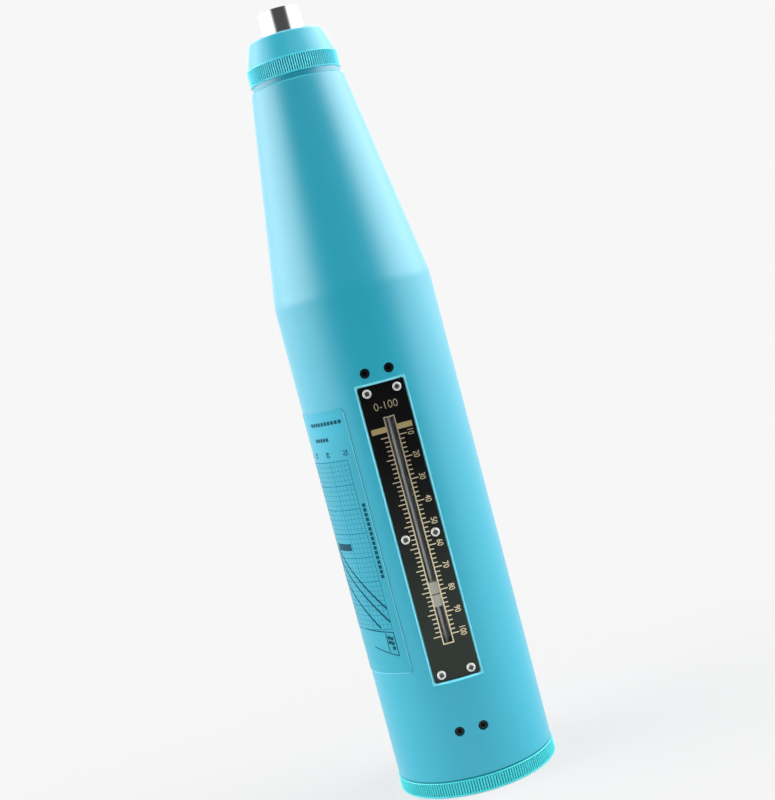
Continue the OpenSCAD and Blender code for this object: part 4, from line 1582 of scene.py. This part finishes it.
@dataclass(frozen=True)
class RiderGauge(Assembly):
    """The rider on its rod, with its spring leaf and the blocks that hold the rod."""

    line: float = 0.4 * MM
    paint: float = 0.02 * MM
    tongue_half: float = 1.65 * MM
    screw_x: float = 4.0 * MM
    head_height: float = 1.6 * MM

    def mark(self) -> Piece:
        """Paints the reading line across the rider's tongue and down its sides.

        Returns:
            The line.
        """
        box = Box.of("rider")
        half, face = self.tongue_half + self.paint, box.low.y
        low, high = box.centre.z - self.line / 2, box.centre.z + self.line / 2
        work = bmesh.new()
        slab(work, (-half, face - self.paint, low), (half, face + self.line, high))
        bmesh.ops.bevel(work, geom=work.edges[:], offset=self.paint / 2, segments=1, affect="EDGES")
        return meshed("rider_mark", work, self.finishes.red)

    def build(self) -> None:
        """Dresses the rider, rod and blocks and sets the blocks' screws."""
        dress(self.finishes.ivory, "rider")
        dress(self.finishes.rod, "rider_rod")
        dress(self.finishes.drawn, "rider_leaf")
        dress(self.finishes.brass, "rod_block_front", "rod_block_rear")
        add_to(self.mark(), "rider")
        rows = tuple(Box.of(node).centre.z for node in ("rod_block_rear", "rod_block_front"))
        screws = Box.of("block_screws")
        seat = -screws.low.y - self.head_height
        Screws(
            "block_screws", Drive.HEX, rows, self.screw_x, seat,
            head_radius=1.55 * MM, head_height=self.head_height, shank_radius=1.0 * MM,
            shank_end=seat + screws.high.y, recess_radius=0.87 * MM, recess_depth=0.9 * MM,
        ).build(self.finishes.black)


@dataclass(frozen=True)
class Wrap:
    """Where a sheet lies on the barrel, by angles that start at the scale and grow towards +X."""

    radius: float
    near: float
    turn: float
    low: float
    high: float

    @classmethod
    def of(cls, node: str) -> "Wrap":
        """Measures a CAD sheet.

        Args:
            node: The sheet's name.

        Returns:
            Its outer radius, near edge, turn, foot and top.
        """
        spots = [vert.co for vert in frame["nodes"][node].data.vertices]
        angles = [math.atan2(spot.x, -spot.y) % math.tau - math.tau for spot in spots]
        radius, near = max(spot.xy.length for spot in spots), max(angles)
        box = Box.of(node)
        return cls(radius, near, near - min(angles), box.low.z, box.high.z)

    def spot(self, across: float, reach: float, height: float) -> Corner:
        """Returns the point that far from the near edge and from the axis, at that height."""
        angle = self.near - across / self.radius
        return reach * math.sin(angle), -reach * math.cos(angle), height


@dataclass(frozen=True)
class ChartLabel(Assembly):
    """The printed film on the barrel's left side, with a plain chart.

    Flat print is drawn with the distance from the chart's near border and the depth below its top.
    """

    columns: int = 5
    rows: int = 7
    minor: int = 5
    pitch: float = 8.25 * MM
    margin_side: float = 3.4 * MM
    margin_top: float = 16.9 * MM
    film_share: float = 0.8
    corner: float = 1.2 * MM
    corner_steps: int = 6
    steps: int = 96
    stroke_step: float = 1.0 * MM
    major_line: float = 0.28 * MM
    minor_line: float = 0.13 * MM
    trace_line: float = 0.7 * MM
    frame_line: float = 0.36 * MM
    rim_line: float = 0.2 * MM
    grid_depth: float = 0.015 * MM
    print_depth: float = 0.03 * MM
    first_number: int = 70
    number_step: int = 10
    numeral_height: float = 1.9 * MM
    numeral_stretch: float = 0.8
    numeral_weight: float = 0.02
    numeral_rise: float = 2.47 * MM
    fall: float = 1.12
    bend: float = 0.006 / MM
    traces: tuple[Point, ...] = ((50.8 * MM, 0.0), (55.4 * MM, 0.0), (62.4 * MM, 4.75 * MM))
    block: tuple[Point, Point] = ((8.9 * MM, 29.2 * MM), (19.0 * MM, 29.2 * MM))
    block_line: float = 2.4 * MM
    table: tuple[tuple[Point, Point], ...] = (
        ((13.5 * MM, 57.6 * MM), (0.0, 58.9 * MM)),
        ((0.0, 58.9 * MM), (0.0, 67.0 * MM)),
        ((0.0, 67.0 * MM), (10.8 * MM, 63.7 * MM)),
        ((3.4 * MM, 59.0 * MM), (3.4 * MM, 65.6 * MM)),
    )
    dash_rows: tuple[tuple[Point, Point], ...] = (
        ((-1.7 * MM, 15.0 * MM), (-1.7 * MM, 42.0 * MM)),
        ((-1.5 * MM, -12.9 * MM), (16.0 * MM, -12.9 * MM)),
        ((6.0 * MM, -7.6 * MM), (14.5 * MM, -7.6 * MM)),
        ((1.2 * MM, 60.4 * MM), (1.2 * MM, 65.4 * MM)),
        ((2.4 * MM, 60.0 * MM), (2.4 * MM, 64.8 * MM)),
    )
    dash: float = 1.2 * MM
    dash_gap: float = 0.42 * MM
    dash_line: float = 1.2 * MM

    @cached_property
    def wrap(self) -> Wrap:
        """The CAD label's place on the barrel."""
        return Wrap.of("conversion_label")

    @property
    def top(self) -> float:
        """The height of the chart's upper line."""
        return self.wrap.high - self.margin_top

    def film(self) -> Piece:
        """Bends the film round the barrel.

        Returns:
            The film, with round corners.
        """
        wrap, corner = self.wrap, self.corner
        inner = wrap.radius - self.film_share * (wrap.radius - Box.of("housing").high.x)
        width = wrap.turn * wrap.radius
        turns = (QUARTER * i / self.corner_steps for i in range(self.corner_steps + 1))
        curl = [corner * (1.0 - math.cos(angle)) for angle in turns]
        between = [corner + (width - 2 * corner) * i / self.steps for i in range(1, self.steps)]
        work = bmesh.new()
        rings = []
        for u in curl + between + [width - u for u in reversed(curl)]:
            inset = corner - min(u, width - u, corner)
            cut = corner - math.sqrt(corner**2 - inset**2)
            low, high = wrap.low + cut, wrap.high - cut
            section = ((inner, low), (wrap.radius, low), (wrap.radius, high), (inner, high))
            rings.append([work.verts.new(wrap.spot(u, reach, z)) for reach, z in section])
        join_rings(work, rings)
        return meshed("label_sheet", work, self.finishes.film)

    def grid(self) -> Piece:
        """Prints the chart's grid, bent round the film.

        Returns:
            The grid as one mesh.
        """
        shape = Shape("label_grid")
        pitch = shape.size("Pitch", self.pitch / self.minor)
        width = shape.size("Width", self.columns * self.pitch)
        height = shape.size("Height", self.rows * self.pitch)
        side = shape.size("Side margin", self.margin_side)
        upper = shape.size("Top", self.top)
        thin = shape.size("Minor line", self.minor_line)
        extra = shape.size("Major line", self.major_line) - thin
        depth = shape.size("Depth", self.grid_depth)
        barrel = shape.size("Radius", self.wrap.radius)
        edge = shape.size("Near edge", self.wrap.near)
        index = shape.index()
        line = thin + extra * (index % float(self.minor) < 0.5)
        out = depth / 2.0
        across = shape.points(self.rows * self.minor + 1, side + width / 2.0, out, upper - index * pitch)
        down = shape.points(self.columns * self.minor + 1, side + index * pitch, out, upper - height / 2.0)
        flat = shape.real(shape.joined(
            shape.copies(across, shape.cube(self.steps), Scale=shape.vector(width, depth, line)),
            shape.copies(down, shape.cube(), Scale=shape.vector(line, depth, height)),
        ))
        u, w, v = shape.parts(shape.add("GeometryNodeInputPosition"))
        angle, reach = edge - u / barrel, barrel + w
        x, y = (reach * shape.math(wave, angle) for wave in ("SINE", "COSINE"))
        bent = {"Geometry": flat, "Position": shape.vector(x, 0.0 - y, v)}
        return shape.piece(shape.add("GeometryNodeSetPosition", bent), self.finishes.grid)

    def stroke(self, work: WorkMesh, points: Sequence[Point], width: float) -> None:
        """Adds a flat stroke of print along points.

        Args:
            work: The edit mesh that it goes into.
            points: The stroke's middle line.
            width: Its width.
        """
        section = ((-1, 0.0), (-1, self.print_depth), (1, self.print_depth), (1, 0.0))
        rings = []
        for i, (u, v) in enumerate(points):
            before, after = points[max(i - 1, 0)], points[min(i + 1, len(points) - 1)]
            way = (Vector(after) - Vector(before)).normalized() * width / 2
            rings.append([work.verts.new((u - way.y * side, w, v + way.x * side)) for side, w in section])
        join_rings(work, rings)

    def line(self, work: WorkMesh, ends: Sequence[Point], width: float) -> None:
        """Adds a straight stroke in short steps, so that it bends with the film.

        Args:
            work: The edit mesh that it goes into.
            ends: Where it starts and ends.
            width: Its width.
        """
        start, end = map(Vector, ends)
        count = max(int((end - start).length / self.stroke_step), 1)
        self.stroke(work, [tuple(start.lerp(end, i / count)) for i in range(count + 1)], width)

    def bent(self, name: str, work: WorkMesh, material: Material) -> Piece:
        """Bends flat print round the film.

        Args:
            name: The piece's name.
            work: The flat print, which is used up.
            material: The ink.

        Returns:
            The print as one mesh.
        """
        for vert in work.verts:
            u, w, v = vert.co
            vert.co = self.wrap.spot(u + self.margin_side, self.wrap.radius + w, self.top - v)
        bmesh.ops.recalc_face_normals(work, faces=work.faces)
        return meshed(name, work, material)

    def chart(self) -> WorkMesh:
        """Draws the chart's curves, block, small table, rows of dashes and plain numbers.

        Returns:
            The flat print.
        """
        work = bmesh.new()
        reach = self.columns * self.pitch
        for foot, start in self.traces:
            spans = [start + (reach - start) * i / self.steps for i in range(self.steps + 1)]
            curve = [(u, foot - u * (self.fall - self.bend * u)) for u in spans]
            self.stroke(work, curve, self.trace_line)
        self.line(work, self.block, self.block_line)
        for ends in self.table:
            self.line(work, ends, self.frame_line)
        spacing = self.dash + self.dash_gap
        for ends in self.dash_rows:
            start, end = map(Vector, ends)
            way = (end - start).normalized()
            for i in range(int((end - start).length / spacing)):
                here = start + way * (i * spacing)
                self.line(work, (here, here + way * self.dash), self.dash_line)
        facing = Matrix(((0, -1, 0, 0), (0, 0, 1, 0), (1, 0, 0, 0), (0, 0, 0, 1)))
        style = (self.numeral_height, self.numeral_stretch, self.numeral_weight, self.print_depth)
        for column in range(self.columns + 1):
            mesh = figures(str(self.first_number - self.number_step * column), *style)
            mesh.transform(Matrix.Translation((column * self.pitch, 0.0, -self.numeral_rise)) @ facing)
            work.from_mesh(mesh)
        return work

    def rim(self) -> WorkMesh:
        """Draws a pale line along the film's near and far sides and its foot.

        Returns:
            The flat print.
        """
        work = bmesh.new()
        inset, corner = self.rim_line / 2, self.corner
        width, height = self.wrap.turn * self.wrap.radius, self.wrap.high - self.wrap.low
        left, right = inset - self.margin_side, width - inset - self.margin_side
        upper, lower = inset - self.margin_top, height - inset - self.margin_top
        for u in (left, right):
            self.line(work, ((u, upper + corner), (u, lower - corner)), self.rim_line)
        self.line(work, ((left + corner, lower), (right - corner, lower)), self.rim_line)
        return work

    def build(self) -> None:
        """Lays the film on the barrel and prints the chart on it."""
        stand_for(self.film(), "conversion_label")
        pieces = (
            self.grid(),
            self.bent("label_traces", self.chart(), self.finishes.trace),
            self.bent("label_rim", self.rim(), self.finishes.pale),
        )
        for piece in pieces:
            add_to(piece, "conversion_label")


@dataclass(frozen=True)
class TripStop(Assembly):
    """The trip screw and its lock nut in the rear recess."""

    flats: float = 10.0 * MM
    hole_radius: float = 3.05 * MM
    chamfer: float = 0.55 * MM
    chamfer_reach: float = 0.935 * MM
    spare: float = 1.02
    overrun: float = 0.75
    segments: int = 96

    def build(self) -> None:
        """Makes a chamfered nut and dresses the screw."""
        box = Box.of("lock_nut")
        low, high = box.low.z, box.high.z
        corner = self.flats / math.sqrt(3.0)
        wide, narrow = corner * self.spare, corner - self.chamfer_reach
        outline = [
            (self.hole_radius, low),
            (narrow, low),
            (wide, low + self.chamfer),
            (wide, high - self.chamfer),
            (narrow, high),
            (self.hole_radius, high),
        ]
        nut = meshed("lock_nut_hex", lathe(outline, self.segments), self.finishes.turned)
        reach = box.size.z * self.overrun
        hexagon = prism(HEXAGON, corner, box.centre.z - reach, box.centre.z + reach)
        stand_for(carved(nut, hexagon, "INTERSECT"), "lock_nut")
        dress(self.finishes.dark, "trip_screw")


@dataclass(frozen=True)
class LockButton(Assembly):
    """The button on the back with its collar and spring."""

    spring: Coil = Coil("button_spring", 0.5 * MM, 2, Pull.SHORTENS, "Y")

    def build(self) -> None:
        """Dresses the button and collar and winds the spring."""
        dress(self.finishes.blued, "push_button")
        dress(self.finishes.faced, "button_collar")
        self.spring.build(self.finishes.wire)


@dataclass(frozen=True)
class Movement(Assembly):
    """The plunger, mass, carriage and springs inside the barrel."""

    springs: tuple[Coil, ...] = (
        Coil("impact_spring", 2.0 * MM, 16),
        Coil("compression_spring", 1.6 * MM, 6, Pull.GROWS, turn=QUARTER / 2),
        Coil("buffer_spring", 0.9 * MM, 7, Pull.SHORTENS),
        Coil("pawl_spring", 0.5 * MM, 3, Pull.GROWS),
    )

    def build(self) -> None:
        """Dresses the moving pieces and winds the springs."""
        dress(self.finishes.chrome, "impact_plunger")
        dress(self.finishes.turned, "guide_bar", "guide_disk", "pawl_pin", "split_ring")
        dress(self.finishes.dark, "hammer_mass", "pawl")
        dress(self.finishes.brass, "guide_sleeve")
        dress(self.finishes.felt, "felt_washer")
        for spring in self.springs:
            spring.build(self.finishes.wire)


@dataclass(frozen=True)
class Glow:
    """A soft bright patch of the surround, on the left and on the right.

    Turns are degrees from the front and rises are degrees above the horizon. The strengths are for
    left and right, and the soft edges for turn and rise.
    """

    turn: Point
    rise: Point
    strength: Point
    soft: Point

    def level(self, tree: Tree, turn: Value, rise: Value, right: Value) -> Value:
        """Returns the patch's strength in a direction.

        Args:
            tree: The world's tree.
            turn: The direction's turn.
            rise: The direction's rise.
            right: 1 on the right and 0 on the left.

        Returns:
            The strength.
        """
        left_power, right_power = self.strength
        power = left_power + right * (right_power - left_power)
        across = tree.window(turn, self.turn, self.soft[0])
        return power * across * tree.window(rise, self.rise, self.soft[1])


def swung(first: Vector, second: Vector, angle: float) -> tuple[Vector, Vector]:
    """Turns two square axes in their plane, the first towards the second."""
    share, rest = math.sin(angle), math.cos(angle)
    return first * rest + second * share, second * rest - first * share


@dataclass(frozen=True)
class Studio:
    """The camera, a pale floor and a white surround with soft bright sides."""

    distance: float = 500.743 * MM
    height: float = 163.08 * MM
    azimuth: float = -2.193
    pitch: float = 3.663
    yaw: float = 0.235
    roll: float = -14.85
    lens: float = 66.309
    sensor: float = 36.0
    clip: Point = (0.01, 100.0)
    floor_reach: float = 0.55
    floor_sides: int = 96
    floor_gap: float = 0.02 * MM
    floor_colour: Colour = (0.88, 0.88, 0.88)
    floor_seen: Colour = (0.6, 0.6, 0.6)
    floor_white: float = 0.7
    floor_fade: Point = (0.03, 0.4)
    backdrop: Colour = (0.93, 0.93, 0.935)
    dim: float = 0.09
    middle: Point = (-0.1, 0.1)
    behind: Point = (100.0, 140.0)
    glows: tuple[Glow, ...] = (
        Glow((57.0, 128.0), (0.0, 42.0), (5.9, 6.4), (24.0, 13.0)),
        Glow((-90.0, 95.0), (33.0, 60.0), (1.0, 2.0), (20.0, 8.0)),
        Glow((140.0, 230.0), (-2.0, 36.0), (1.0, 1.0), (22.0, 12.0)),
    )

    def camera(self) -> None:
        """Sets the camera where the hammer was seen from."""
        data = bpy.data.cameras.new("camera")
        data.lens, data.sensor_width = self.lens, self.sensor
        data.clip_start, data.clip_end = self.clip
        azimuth, pitch, yaw, roll = map(math.radians, (self.azimuth, self.pitch, self.yaw, self.roll))
        right = Vector((math.cos(azimuth), math.sin(azimuth), 0.0))
        ahead = Vector((-math.sin(azimuth), math.cos(azimuth), 0.0))
        up = Vector((0.0, 0.0, 1.0))
        ahead, right = swung(ahead, right, yaw)
        ahead, up = swung(ahead, up, -pitch)
        right, up = swung(right, up, roll)
        spot = (self.distance * math.sin(azimuth), -self.distance * math.cos(azimuth), self.height)
        view = linked("camera", data)
        view.matrix_world = Matrix.Translation(spot) @ Matrix((right, up, -ahead)).transposed().to_4x4()
        bpy.context.scene.camera = view

    def floor(self) -> None:
        """Lays a pale floor that fades into the white surround."""
        work = bmesh.new()
        sunk = Matrix.Translation((0.0, 0.0, -self.floor_gap))
        bmesh.ops.create_circle(
            work, cap_ends=True, segments=self.floor_sides, radius=self.floor_reach, matrix=sunk
        )
        shader = Shader("floor")
        x, y, _ = shader.parts(shader.place())
        fade = shader.ease(shader.math("SQRT", x * x + y * y), *self.floor_fade)
        seen = shader.ray("Camera")
        tone = shader.mix(seen, self.floor_colour, self.floor_seen)
        matt = shader.add("ShaderNodeBsdfDiffuse", {"Color": tone})
        white = shader.add("ShaderNodeEmission", {"Color": self.backdrop})
        share = seen * (self.floor_white + fade * (1.0 - self.floor_white)) + shader.ray("Glossy")
        mixed = shader.add("ShaderNodeMixShader", {0: share, 1: matt, 2: white})
        floor = meshed("floor", work, shader.finish(mixed))

    def surround(self) -> None:
        """Makes a white backdrop, with bright sides that light the hammer and a dim front."""
        world = bpy.data.worlds.new("surround")
        world.use_nodes = True
        tree = Tree(world.node_tree)
        tree.nodes.nodes.clear()
        seen = tree.ray("Camera") + tree.ray("Transmission")
        x, y, z = tree.parts(tree.add("ShaderNodeTexCoord", output="Generated"))
        turn = tree.math("ABSOLUTE", tree.math("ARCTAN2", x, 0.0 - y)) * math.degrees(1.0)
        rise = tree.math("ARCSINE", z) * math.degrees(1.0)
        right = tree.ease(x, *self.middle)
        behind = tree.ray("Glossy") * tree.ease(turn, *self.behind)
        light: Number = behind * (1.0 - self.dim) + self.dim
        for glow in self.glows:
            light = light + glow.level(tree, turn, rise, right)
        level = tree.math("MINIMUM", seen, 1.0) + tree.math("MAXIMUM", 1.0 - seen, 0.0) * light
        shine = {"Color": self.backdrop, "Strength": level}
        tree.close("ShaderNodeOutputWorld", tree.add("ShaderNodeBackground", shine))
        bpy.context.scene.world = world

    def build(self) -> None:
        """Sets up the camera, floor and surround."""
        bpy.context.scene.view_settings.view_transform = "Standard"
        self.camera()
        self.floor()
        self.surround()


def main() -> None:
    """Builds every sub-assembly in order."""
    logging.basicConfig(level=logging.INFO, format="%(name)s: %(message)s")
    finishes = Finishes()
    assemblies = (
        Barrel, RearCover, NoseCap, ScalePlate, RiderGauge, ChartLabel, TripStop, LockButton, Movement,
    )
    for assembly in assemblies:
        LOG.info("building %s", assembly.__name__)
        assembly(finishes).build()
    Studio().build()


if __name__ == "__main__":
    main()
